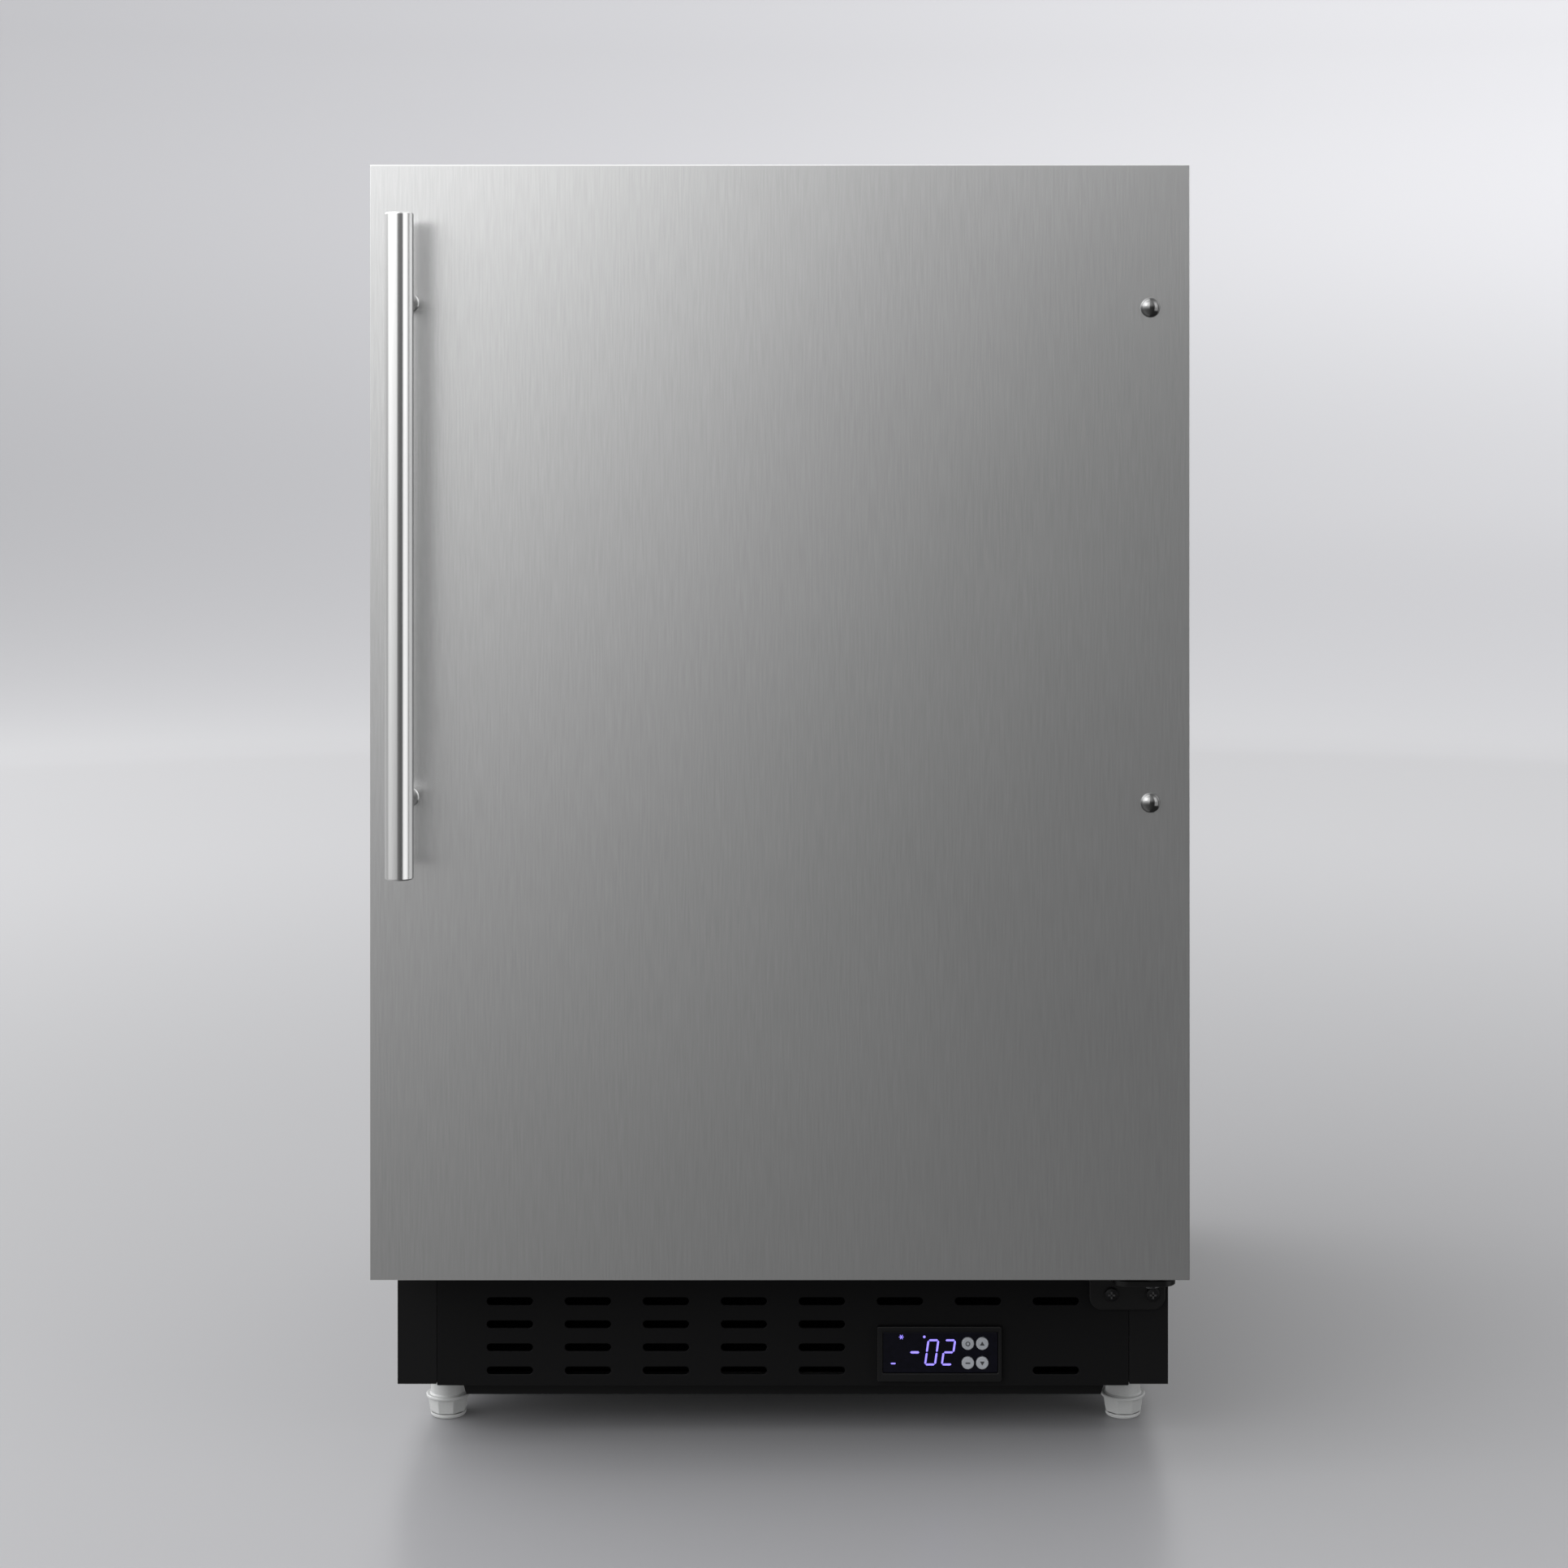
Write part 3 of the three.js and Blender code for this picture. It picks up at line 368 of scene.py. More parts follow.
def tube_mesh(points, radius, cyclic=False, sides=10):
    """A round tube along a list of points, its ends closed."""
    bm = bmesh.new()
    path = [Vector(p) for p in points]
    count = len(path)
    rings, normal = [], None
    for i, point in enumerate(path):
        before = path[i - 1] if i or cyclic else point
        after = path[(i + 1) % count] if i + 1 < count or cyclic else point
        along = (after - before).normalized()
        if normal is None:
            normal = along.orthogonal().normalized()
        normal = (normal - along * normal.dot(along)).normalized()
        side = along.cross(normal)
        rings.append([bm.verts.new(point + radius * (math.cos(a) * normal + math.sin(a) * side))
                      for a in (2 * math.pi * k / sides for k in range(sides))])
    for i in range(count if cyclic else count - 1):
        lower, upper = rings[i], rings[(i + 1) % count]
        for k in range(sides):
            bm.faces.new((lower[k], lower[(k + 1) % sides], upper[(k + 1) % sides], upper[k]))
    if not cyclic:
        bm.faces.new(rings[0])
        bm.faces.new(rings[-1])
    return to_mesh(bm, sharp=50)


def folded(name, faces, thickness, bend, body, slot, replaces=(), outwards=False):
    """Sheet folded from flat faces that share edges, with rounded bends, made thick inwards or outwards."""
    bm = bmesh.new()
    for corners in faces:
        bm.faces.new([bm.verts.new(corner) for corner in corners])
    bmesh.ops.remove_doubles(bm, verts=bm.verts, dist=1e-6)
    bmesh.ops.recalc_face_normals(bm, faces=bm.faces)
    bends = [e for e in bm.edges if len(e.link_faces) == 2 and e.calc_face_angle(0) > 0.3]
    round_edges(bm, bend, 4, bends)
    areas = [(f, f.calc_center_median(), f.calc_area()) for f in bm.faces]
    middle = sum((centre * area for _, centre, area in areas), Vector()) / sum(area for *_, area in areas)
    if sum(f.normal.dot(centre - middle) * area for f, centre, area in areas) < 0:
        bmesh.ops.reverse_faces(bm, faces=bm.faces)
    mesh = to_mesh(bm, sharp=60, recalculate=False)
    piece = place(name, mesh, body, slot, replaces)
    piece.modifiers.clear()
    solidify = piece.modifiers.new("sheet", "SOLIDIFY")
    solidify.thickness, solidify.offset = thickness, 1 if outwards else -1
    piece.modifiers.new("normals", "WEIGHTED_NORMAL").keep_sharp = True
    return piece


# ---------------------------------------------------------------- door


def door_skin():
    """The stainless pan: a flat front, full side returns and short folds along the top and bottom."""
    low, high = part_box("door_skin")
    cap_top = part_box("door_inner_liner")[1].z
    lip = low.y + 10 * MM
    x0, x1, y0, y1, z0, z1 = low.x, high.x, low.y, high.y, low.z, high.z

    def side(x):
        return [(x, y0, z0), (x, y0, z1), (x, lip, z1), (x, lip, cap_top), (x, y1, cap_top), (x, y1, z0)]

    faces = [
        [(x0, y0, z0), (x1, y0, z0), (x1, y0, z1), (x0, y0, z1)],
        side(x0)[::-1],
        side(x1),
        [(x0, y0, z1), (x1, y0, z1), (x1, lip, z1), (x0, lip, z1)],
        [(x0, y0, z0), (x0, lip, z0), (x1, lip, z0), (x1, y0, z0)],
    ]
    sheet, bend = 0.6 * MM, 0.45 * MM
    folded("door_skin_panel", faces, sheet, bend, "door", "door_stainless", ["door_skin"])


def handle():
    """A round rod with eased ends on two posts, each with a thin collar against the door."""
    low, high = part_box("handle_rod")
    x, y, radius = (low.x + high.x) / 2, (low.y + high.y) / 2, (high.x - low.x) / 2
    ease = 1.1 * MM
    lower = [(0, low.z)] + arc((radius - ease, low.z + ease), ease, -90, 0, 4)
    upper = arc((radius - ease, high.z - ease), ease, 0, 90, 4) + [(0, high.z)]
    rod = turned_mesh(lower + upper, (x, y, 0), sides=72)
    place("handle_rod_polished", rod, "door", "handle_steel", ["handle_rod"])
    door_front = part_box("door_skin")[0].y
    for end in ENDS:
        post_low, post_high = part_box(f"handle_post_{end}")
        z, r = (post_low.z + post_high.z) / 2, (post_high.x - post_low.x) / 2
        reach = door_front - (y + radius * 0.8)
        shaft = r * 0.93
        profile = [(0, 0.0), (r, 0.0), (r, 0.8 * MM), (shaft, 1.3 * MM), (shaft, reach), (0, reach)]
        post = turned_mesh(profile, (x, door_front - 0.05 * MM, z), "-Y", 40)
        place(f"handle_post_{end}_turned", post, "door", "handle_steel", [f"handle_post_{end}"])


def hole_plugs():
    """Chrome domes that close the spare handle holes."""
    for end in ENDS:
        low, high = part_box(f"hole_plug_{end}")
        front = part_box("door_skin")[0].y
        radius, height = (high.x - low.x) / 2, front - low.y
        rim = 0.5 * MM
        dome = [(radius * math.cos(a), rim + (height - rim) * math.sin(a))
                for a in (math.pi / 2 * i / 10 for i in range(11))]
        centre = ((low.x + high.x) / 2, front, (low.z + high.z) / 2)
        mesh = turned_mesh([(0, 0), (radius, 0)] + dome[:-1] + [(0, height)], centre, "-Y", 40)
        place(f"hole_plug_{end}_dome", mesh, "door", "plug_chrome", [f"hole_plug_{end}"])


door_skin()
handle()
hole_plugs()


# ---------------------------------------------------------------- kick, controller and lower hinge

SLOT_FIRST, SLOT_PITCH, SLOT_LENGTH, SLOT_HEIGHT = -171.5 * MM, 49 * MM, 29 * MM, 4.8 * MM
SLOT_ROWS = [z * MM for z in (91.5, 77, 62.5, 48)]
SLOT_COLUMNS = [SLOT_ROWS] * 5 + [SLOT_ROWS[:1]] * 2 + [[SLOT_ROWS[0], SLOT_ROWS[-1]]]


def kick():
    """The vented panel, its slots pressed with softened rims, and behind it a near-black sheet that is
    painted shade seen through the slots.
    """
    low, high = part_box("kick_grille")
    outline = rounded_rectangle(low.x, high.x, low.z, high.z, 0.8 * MM)
    holes = [slot_outline(SLOT_FIRST + SLOT_PITCH * i, z, SLOT_LENGTH, SLOT_HEIGHT)
             for i, rows in enumerate(SLOT_COLUMNS) for z in rows]
    case_low, case_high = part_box("controller_case")
    inset = 3 * MM
    holes.append(rounded_rectangle(case_low.x + inset, case_high.x - inset, case_low.z + inset,
                                   case_high.z - inset, 0.5 * MM))
    mesh = flat_mesh(outline, holes, (low.y, high.y), 0.35 * MM)
    place("kick_grille_panel", mesh, "cabinet", "kick_black", ["kick_grille"])
    # Painted shade: a near-black sheet a little behind the panel makes the slots look dark.
    margin = 2 * MM
    screen = rounded_rectangle(low.x + margin, high.x - margin, low.z + 5 * MM, high.z - margin, margin)
    around = rounded_rectangle(case_low.x - margin, case_high.x + margin, case_low.z - margin,
                               case_high.z + margin, margin)
    distance, thickness = 12 * MM, 3 * MM
    shade_sheet_span = (high.y + distance, high.y + distance + thickness)
    shade_sheet_mesh = flat_mesh(screen, [around], shade_sheet_span, 0.4 * MM)
    place("shade_sheet_behind_slots", shade_sheet_mesh, "cabinet", "kick_black", material="shade_sheet_black")


def segment(centre, length, thick, upright):
    """A display segment with pointed ends, drawn in X and Z."""
    half, point = length / 2, thick / 2
    corners = [(-half, 0), (-half + point, point), (half - point, point), (half, 0), (half - point, -point),
               (-half + point, -point)]
    if upright:
        corners = [(-v, u) for u, v in corners]
    return [(centre[0] + u, centre[1] + v) for u, v in corners]


def digit(left, bottom, width, height, lit):
    """The lit segments of a seven-segment digit, slanted to the right."""
    thick = 1.2 * MM
    mid, rise = width / 2, height / 2
    bars = {
        "a": ((mid, height), False), "g": ((mid, rise), False), "d": ((mid, 0), False),
        "f": ((0, rise * 1.5), True), "b": ((width, rise * 1.5), True),
        "e": ((0, rise * 0.5), True), "c": ((width, rise * 0.5), True),
    }
    slant = 0.14
    shapes = []
    for key in lit:
        (u, v), upright = bars[key]
        length = (rise if upright else width) - 0.5 * MM
        outline = segment((u, v), length, thick, upright)
        shapes.append([(left + x + z * slant, bottom + z) for x, z in outline])
    return shapes


def display_shapes(low):
    """A minus sign and two digits, two small marks above them and a dash below."""
    left, bottom = low.x, low.z
    base, width, height = bottom + 5.1 * MM, 6.2 * MM, 15.2 * MM
    minus = segment((left + 19.9 * MM, base + height / 2), 5.8 * MM, 1.4 * MM, False)
    zero = digit(left + 26.4 * MM, base, width, height, "abcdef")
    two = digit(left + 36.9 * MM, base, width, height, "abged")
    dash = segment((left + 6.4 * MM, bottom + 5.7 * MM), 3.2 * MM, 0.9 * MM, False)
    star_x, star_z = left + 11.5 * MM, bottom + 22.3 * MM
    arm = [(-1.5 * MM, -0.2 * MM), (1.5 * MM, -0.2 * MM), (1.5 * MM, 0.2 * MM), (-1.5 * MM, 0.2 * MM)]
    star = [[(star_x + u * math.cos(a) - v * math.sin(a), star_z + u * math.sin(a) + v * math.cos(a))
             for u, v in arm] for a in (0, math.pi / 3, 2 * math.pi / 3)]
    drop = circle_outline(left + 25.9 * MM, bottom + 22.4 * MM, 0.8 * MM, 12)
    return [minus, *zero, *two, dash, drop], star


def controller():
    """A bezel with softened edges, a smoked lens, a lit display behind it and four round buttons."""
    case_low, case_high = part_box("controller_case")
    low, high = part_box("controller_window")
    gap = 0.25 * MM
    outline = rounded_rectangle(case_low.x, case_high.x, case_low.z, case_high.z, 1.4 * MM)
    opening = rounded_rectangle(low.x - gap, high.x + gap, low.z - gap, high.z + gap, 0.8 * MM)
    bezel_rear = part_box("kick_grille")[0].y
    bezel = flat_mesh(outline, [opening], (case_low.y, bezel_rear), 0.6 * MM)
    back = block_mesh((case_low.x + 3.8 * MM, high.y + 2.6 * MM, case_low.z + 3.2 * MM),
                      (case_high.x - 3.8 * MM, case_high.y, case_high.z - 3.2 * MM))
    place("controller_case_bezel", merged(bezel, back), "cabinet", "controller_black", ["controller_case"])
    holes, centres = [], []
    for i in range(1, 5):
        b_low, b_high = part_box(f"controller_button_{i}")
        centres.append(((b_low.x + b_high.x) / 2, (b_low.z + b_high.z) / 2, (b_high.x - b_low.x) / 2))
        holes.append(circle_outline(centres[-1][0], centres[-1][1], centres[-1][2] + 0.25 * MM, 36))
    face = rounded_rectangle(low.x, high.x, low.z, high.z, 0.7 * MM)
    lens = flat_mesh(face, holes, (low.y, high.y), 0.25 * MM)
    place("controller_window_lens", lens, "cabinet", "controller_lens", ["controller_window"])
    shapes, star = display_shapes(low)
    lit = [flat_mesh(shape, [], (low.y - 0.06 * MM, low.y + 0.10 * MM)) for shape in [*shapes, *star]]
    place("display_digits", merged(*lit), "cabinet", "controller_lens", material="display_violet")
    for i, (x, z, radius) in enumerate(centres, 1):
        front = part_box(f"controller_button_{i}")[0].y
        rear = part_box(f"controller_button_{i}")[1].y
        ease = 0.5 * MM
        length = rear - front
        profile = [(0, 0), (radius, 0)] + arc((radius - ease, length - ease), ease, 0, 90, 4)
        cap = turned_mesh(profile + [(0, length)], (x, rear, z), "-Y", 36)
        place(f"controller_button_{i}_cap", cap, f"button_{i}", "button_grey", [f"controller_button_{i}"])
        place(f"controller_button_{i}_mark", button_mark(i, x, z, front), f"button_{i}", "button_grey",
              material="button_mark")


def button_mark(index, x, z, front):
    """A plain printed mark: a ring, a triangle that points up, a bar, or a triangle that points down."""
    face = (front - 0.05 * MM, front + 0.06 * MM)
    size = 1.5 * MM
    if index == 1:
        return flat_mesh(circle_outline(x, z, size), [circle_outline(x, z, size * 0.6)], face)
    if index == 3:
        thin = size * 0.3
        return flat_mesh(rounded_rectangle(x - size, x + size, z - thin, z + thin, 0.2 * MM), [], face)
    up = 1 if index == 2 else -1
    base = z - up * size * 0.7
    return flat_mesh([(x - size, base), (x + size, base), (x, z + up * size)], [], face)


def cross_drive(seat, tip, radius):
    """Two thin bars that cross on a screw's face. tip is the direction that the face looks in."""
    sunk, proud = 0.3 * MM, 0.03 * MM
    level = Vector((radius * 0.5, 0, 0))
    bars = []
    for along in (level, tip.cross(level)):
        side = tip.cross(along).normalized() * radius * 0.12
        corners = [seat + a * along + b * side + tip * proud
                   for a, b in ((-1, -1), (1, -1), (1, 1), (-1, 1))]
        bm = bmesh.new()
        bottom = [bm.verts.new(corner - tip * sunk) for corner in corners]
        top = [bm.verts.new(corner) for corner in corners]
        bm.faces.new(top)
        bm.faces.new(bottom[::-1])
        for i in range(4):
            j = (i + 1) % 4
            bm.faces.new((bottom[i], bottom[j], top[j], top[i]))
        bars.append(to_mesh(bm))
    return merged(*bars)


def screws():
    """Dark screw heads on both hinge brackets, each with a cross-shaped drive."""
    height, plate = 2.5 * MM, 3 * MM
    for number in (1, 2):
        for where, axis in (("lower", "-Y"), ("upper", "Z")):
            node = f"{where}_hinge_screw_{number}"
            low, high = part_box(node)
            x, y, z = (low + high) / 2
            radius = (high.x - low.x) / 2
            bracket_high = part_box(f"{where}_hinge_bracket")[1]
            if axis == "-Y":
                centre, face, tip = (x, bracket_high.y - plate, z), Vector((x, low.y, z)), Vector((0, -1, 0))
            else:
                centre, face, tip = (x, y, bracket_high.z), Vector((x, y, high.z)), Vector((0, 0, 1))
            profile = [(0, 0), (radius, 0), (radius, height * 0.45), (radius * 0.86, height * 0.8),
                       (radius * 0.5, height), (0, height)]
            place(f"{node}_head", turned_mesh(profile, centre, axis, 32), "cabinet", "screw_steel", [node])
            place(f"{node}_drive", cross_drive(face, tip, radius), "cabinet", "screw_steel",
                  material="seal_rubber")


def lower_hinge():
    """An L-shaped bracket with rounded lower corners, and a leaf that runs forwards under the door."""
    low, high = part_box("lower_hinge_bracket")
    rear = high.y
    corner = 8 * MM
    leaf_bottom = high.z - 3.5 * MM
    right = high.x - 2.8 * MM
    leg = [(low.x, high.z), *arc((low.x + corner, low.z + corner), corner, 180, 270),
           *arc((right - corner, low.z + corner), corner, 270, 360), (right, high.z)]
    leg_mesh = flat_mesh(leg, [], (rear - 3 * MM, rear), 0.5 * MM)
    left = low.x + 11.6 * MM
    nose = 9 * MM
    leaf = [(left, rear - 1 * MM), (left, low.y + nose)] + arc((left + nose, low.y + nose), nose, 180, 270)
    leaf += arc((high.x - nose, low.y + nose), nose, 270, 360) + [(high.x, rear - 1 * MM)]
    leaf_mesh = flat_mesh(leaf, [], (leaf_bottom, high.z), 0.5 * MM, "Z")
    place("lower_hinge_plate", merged(leg_mesh, leaf_mesh), "cabinet", "hinge_black", ["lower_hinge_bracket"])


kick()
controller()
lower_hinge()
screws()


# ---------------------------------------------------------------- feet


def foot(where):
    """A moulded foot: a neck, a thin collar, an eight-sided tapered body, and the glide under it."""
    low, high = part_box(f"foot_body_{where}")
    x, y = (low.x + high.x) / 2, (low.y + high.y) / 2
    collar = (high.x - low.x) / 2 - 0.05 * MM
    neck, bore = 11.3 * MM, 4.3 * MM
    collar_low, collar_high = 12.5 * MM, 14.5 * MM
    ease, fillet = 0.5 * MM, 0.8 * MM
    upper = [(bore, collar_low - 1 * MM), (collar - ease, collar_low), (collar, collar_low + ease),
             (collar, collar_high - ease), (collar - ease, collar_high), (neck + fillet, collar_high),
             (neck, collar_high + fillet), (neck, high.z - ease), (neck - ease, high.z), (bore, high.z),
             (bore, collar_low - 1 * MM)]
    neck_mesh = turned_mesh(upper, (x, y, 0), sides=48)
    taper_top = collar_low + 0.2 * MM
    taper = [(bore, low.z), (11.2 * MM, low.z), (11.9 * MM, low.z + 0.4 * MM),
             (12.3 * MM, low.z + 1.4 * MM), (13.4 * MM, collar_low - 0.2 * MM), (13.0 * MM, taper_top),
             (bore, taper_top)]
    body = turned_mesh(taper, (x, y, 0), sides=8, twist=math.pi / 8)
    bm = bmesh.new()
    bm.from_mesh(body)
    uprights = [e for e in bm.edges if abs(e.verts[0].co.z - e.verts[1].co.z) > 5 * MM
                and (e.verts[0].co.xy - Vector((x, y))).length > 11 * MM]
    round_edges(bm, 0.7 * MM, 3, uprights)
    place(f"foot_body_{where}_moulded", merged(neck_mesh, to_mesh(bm)), f"foot_{where}", "foot_grey",
          [f"foot_body_{where}"])
    g_low, g_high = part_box(f"foot_glide_{where}")
    sole = 2.7 * MM
    radius = (g_high.x - g_low.x) / 2
    rim, spigot = 1.6 * MM, 3.9 * MM
    profile = [(0, 0), (radius - rim, 0)] + arc((radius - rim, rim), rim, -90, 0, 5)
    profile += [(radius, sole), (spigot, sole), (spigot, g_high.z), (0, g_high.z)]
    place(f"foot_glide_{where}_disc", turned_mesh(profile, (x, y, 0), sides=48), f"foot_{where}_glide",
          "foot_grey", [f"foot_glide_{where}"])


for where in FEET:
    foot(where)


# ---------------------------------------------------------------- inside of the door

GAP, WALL = 0.3 * MM, 2 * MM
RAIL = 18 * MM
RAIL_ENDS = (160 * MM, 742 * MM)


def frame_outlines(half, bottom, top, width, corner):
    """An upright rectangular frame's outer outline, and its hole."""
    outer = rounded_rectangle(-half, half, bottom, top, corner)
    inner = rounded_rectangle(width - half, half - width, bottom + width, top - width,
                              max(corner - width, 3 * MM))
    return outer, inner


def door_liner():
    """A flat white panel with a raised rail round its middle, softly moulded."""
    low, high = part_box("door_inner_liner")
    face = low.y + WALL
    panel = block_mesh(low, (high.x, face, high.z), 0.4 * MM)
    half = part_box("door_rack_upper")[1].x + 0.5 * MM + RAIL
    outer, inner = frame_outlines(half, *RAIL_ENDS, RAIL, 6 * MM)
    rail = flat_mesh(outer, [inner], (face - 1 * MM, high.y), 4 * MM)
    place("door_liner_moulded", merged(panel, rail), "door", "liner_white", ["door_inner_liner"])


def gasket():
    """A magnetic seal in three steps: a broad root, a narrow fold and a soft bulb."""
    low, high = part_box("door_gasket")
    width = 18 * MM
    steps = [(0, low.y, low.y + 4.0 * MM, 1.0 * MM),
             (3.5 * MM, low.y + 3.6 * MM, high.y - 4.0 * MM, 0.4 * MM),
             (1 * MM, high.y - 4.4 * MM, high.y, 1.8 * MM)]
    rings = []
    for inset, rear, front, edge in steps:
        outer, inner = frame_outlines(high.x - inset, low.z + inset, high.z - inset, width - 2 * inset,
                                      3 * MM)
        rings.append(flat_mesh(outer, [inner], (rear, front), edge))
    place("door_gasket_bellows", merged(*rings), "door", "seal_rubber", ["door_gasket"])


# ---------------------------------------------------------------- compartment


def compartment():
    """The white liner with generous corner radii, a step over the machinery, and ledges for the shelves."""
    low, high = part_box("inner_liner")
    half, front, rear = high.x - WALL, low.y, high.y - WALL
    floor, roof = low.z + WALL, high.z - WALL
    step_y, step_z = 68 * MM, 330 * MM

    def side(x):
        return [(x, front, floor), (x, step_y, floor), (x, step_y, step_z), (x, rear, step_z),
                (x, rear, roof), (x, front, roof)]

    left_side, right_side = side(-half), side(half)
    faces = [left_side, right_side[::-1]]
    faces += [[left_side[i], left_side[i + 1], right_side[i + 1], right_side[i]] for i in range(5)]
    bend = 9 * MM
    folded("inner_liner_moulded", faces, WALL, bend, "cabinet", "liner_white", ["inner_liner"],
           outwards=True)
    collar = rounded_rectangle(low.x, high.x, low.z, high.z, 1 * MM)
    proud = 0.4 * MM
    mouth = rounded_rectangle(proud - half, half - proud, floor + proud, roof - proud, bend)
    ledges = [flat_mesh(collar, [mouth], (front, front + WALL), 0.3 * MM)]
    sunk, ledge_width, ledge_height, ledge_front = 0.5 * MM, 8 * MM, 6 * MM, -150 * MM
    for end in ENDS:
        shelf_low, shelf_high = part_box(f"wire_shelf_{end}")
        for left, right in ((-half - sunk, -half + ledge_width), (half - ledge_width, half + sunk)):
            ledges.append(block_mesh((left, ledge_front, shelf_low.z - ledge_height),
                                     (right, shelf_high.y, shelf_low.z - GAP), 1.6 * MM, 3))
    place("inner_liner_ledges", merged(*ledges), "cabinet", "liner_white")


def wire_shelves():
    """Coated wire: a bent rim, two cross bars under it, and close thin wires from front to back."""
    rim, thin, corner = 3 * MM, 1.6 * MM, 14 * MM
    for end in ENDS:
        low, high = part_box(f"wire_shelf_{end}")
        outline = rounded_rectangle(low.x + rim, high.x - rim, low.y + rim, high.y - rim, corner, 6)
        middle = low.z + rim
        parts = [tube_mesh([(x, y, middle) for x, y in outline], rim, cyclic=True, sides=12)]
        for y in (-20 * MM, 80 * MM):
            level = middle - 1 * MM
            parts.append(tube_mesh([(low.x + rim, y, level), (high.x - rim, y, level)], thin))
        count = 15
        for i in range(1, count + 1):
            x = low.x + rim + (high.x - low.x - 2 * rim) * i / (count + 1)
            ends = [(x, low.y + rim, middle + 1 * MM), (x, high.y - rim, middle + 1 * MM)]
            parts.append(tube_mesh(ends, thin, sides=8))
        place(f"wire_shelf_{end}_bent", merged(*parts), f"shelf_{end}", "shelf_wire", [f"wire_shelf_{end}"])


# ---------------------------------------------------------------- machinery and back


def compressor_can():
    """A drawn steel can with a welded seam, on a plate with four rubber grommets."""
    low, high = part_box("compressor")
    x, y = (low.x + high.x) / 2, (low.y + high.y) / 2
    radius, seam = 75 * MM, 140 * MM
    base = low.z + 7 * MM
    lower = [(0, base)] + arc((radius - 16 * MM, base + 16 * MM), 16 * MM, -90, 0, 6)
    weld = [(radius, seam - 3 * MM), (radius + 1.5 * MM, seam - 2 * MM), (radius + 1.5 * MM, seam + 2 * MM),
            (radius - 0.5 * MM, seam + 3 * MM)]
    rise = high.z - seam - 3 * MM
    dome = [((radius - 0.5 * MM) * math.cos(a) ** 0.62, seam + 3 * MM + rise * math.sin(a))
            for a in (math.pi / 2 * i / 12 for i in range(1, 12))]
    can = turned_mesh(lower + weld + dome + [(0, high.z)], (x, y, 0), sides=64)
    plate = block_mesh((low.x, low.y + 13 * MM, 48 * MM), (high.x, high.y - 13 * MM, 52 * MM), 1.2 * MM)
    rubber = [(0, low.z), (9 * MM, low.z), (9 * MM, 46 * MM), (6 * MM, 49 * MM), (9 * MM, 53 * MM),
              (8 * MM, 56 * MM), (0, 56 * MM)]
    grommets = [turned_mesh(rubber, (x + side * 66 * MM, y + end * 50 * MM, 0), sides=24)
                for side in (-1, 1) for end in (-1, 1)]
    place("compressor_can", merged(can, plate, *grommets), "cabinet", "compressor_black", ["compressor"])


def smooth_path(points, steps=8):
    """A Catmull-Rom curve through points."""
    path = [Vector(p) for p in points]
    path = [2 * path[0] - path[1], *path, 2 * path[-1] - path[-2]]
    curve = []
    for a, b, c, d in zip(path, path[1:], path[2:], path[3:]):
        for i in range(steps):
            t = i / steps
            curve.append(0.5 * (2 * b + (c - a) * t + (2 * a - 5 * b + 4 * c - d) * t * t
                                + (3 * b - a - 3 * c + d) * t ** 3))
    return [*curve, path[-2]]


def power_cord():
    """A round cable out of the compressor bay, a ribbed strain relief, and a moulded plug with two pins."""
    x, z, radius = -180 * MM, 80 * MM, 3.5 * MM
    offsets = [(0, 262, 0), (0, 292, 0), (5, 303, 8), (40, 303.5, 70), (110, 303.5, -20), (180, 303.5, 70),
               (182, 303.5, 150)]  # from the hole in the cover, in millimetres
    path = smooth_path([(x + dx * MM, y * MM, z + dz * MM) for dx, y, dz in offsets])
    cable = tube_mesh(path, radius, sides=16)
    plug_x, middle = x + 182 * MM, 303.5 * MM
    plug = block_mesh((plug_x - 12 * MM, middle - 6 * MM, z + 143 * MM),
                      (plug_x + 12 * MM, middle + 6 * MM, z + 172 * MM), 3 * MM, 4)
    relief = [(0, 0)]
    for i in range(5):
        relief += [(4.2 * MM, (4 * i) * MM), (5.4 * MM, (4 * i + 1) * MM), (5.4 * MM, (4 * i + 3) * MM)]
    collar = turned_mesh([*relief, (0, 19 * MM)], (plug_x, middle, z + 125 * MM), sides=24)
    pins = [block_mesh((pin_x - 0.8 * MM, middle - 3 * MM, z + 170 * MM),
                       (pin_x + 0.8 * MM, middle + 3 * MM, z + 189 * MM), 0.3 * MM)
            for pin_x in (plug_x - 6.5 * MM, plug_x + 6.5 * MM)]
    place("power_cord_moulded", merged(cable, plug, collar), "cabinet", "cord_rubber", ["power_cord"])
    place("power_cord_pins", merged(*pins), "cabinet", "cord_rubber", material="plug_chrome")


def back_screws():
    """Pan-head screws round the back panel and the vented cover."""
    low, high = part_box("back_panel")
    cover_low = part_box("compressor_cover")[0]
    inset = 9 * MM
    edge = high.x - inset
    heights, columns = (62, 155, 270, 330, 480, 630, 765), (-120, 0, 120)
    spots = [(side * edge, z * MM) for side in (-1, 1) for z in heights]
    spots += [(x * MM, z) for z in (high.z - inset, cover_low.z + inset) for x in columns]
    profile = [(0, 0), (3.8 * MM, 0), (3.8 * MM, 0.5 * MM), (3.2 * MM, 1.2 * MM), (1.6 * MM, 1.6 * MM),
               (1.4 * MM, 0.9 * MM), (0, 0.8 * MM)]
    heads = [turned_mesh(profile, (x, high.y, z), "Y", 20) for x, z in spots]
    place("back_screws", merged(*heads), "cabinet", "zinc_steel", material="screw_zinc")


door_liner()
gasket()
compartment()
wire_shelves()
compressor_can()
power_cord()
back_screws()


# ---------------------------------------------------------------- CAD nodes that keep their shape

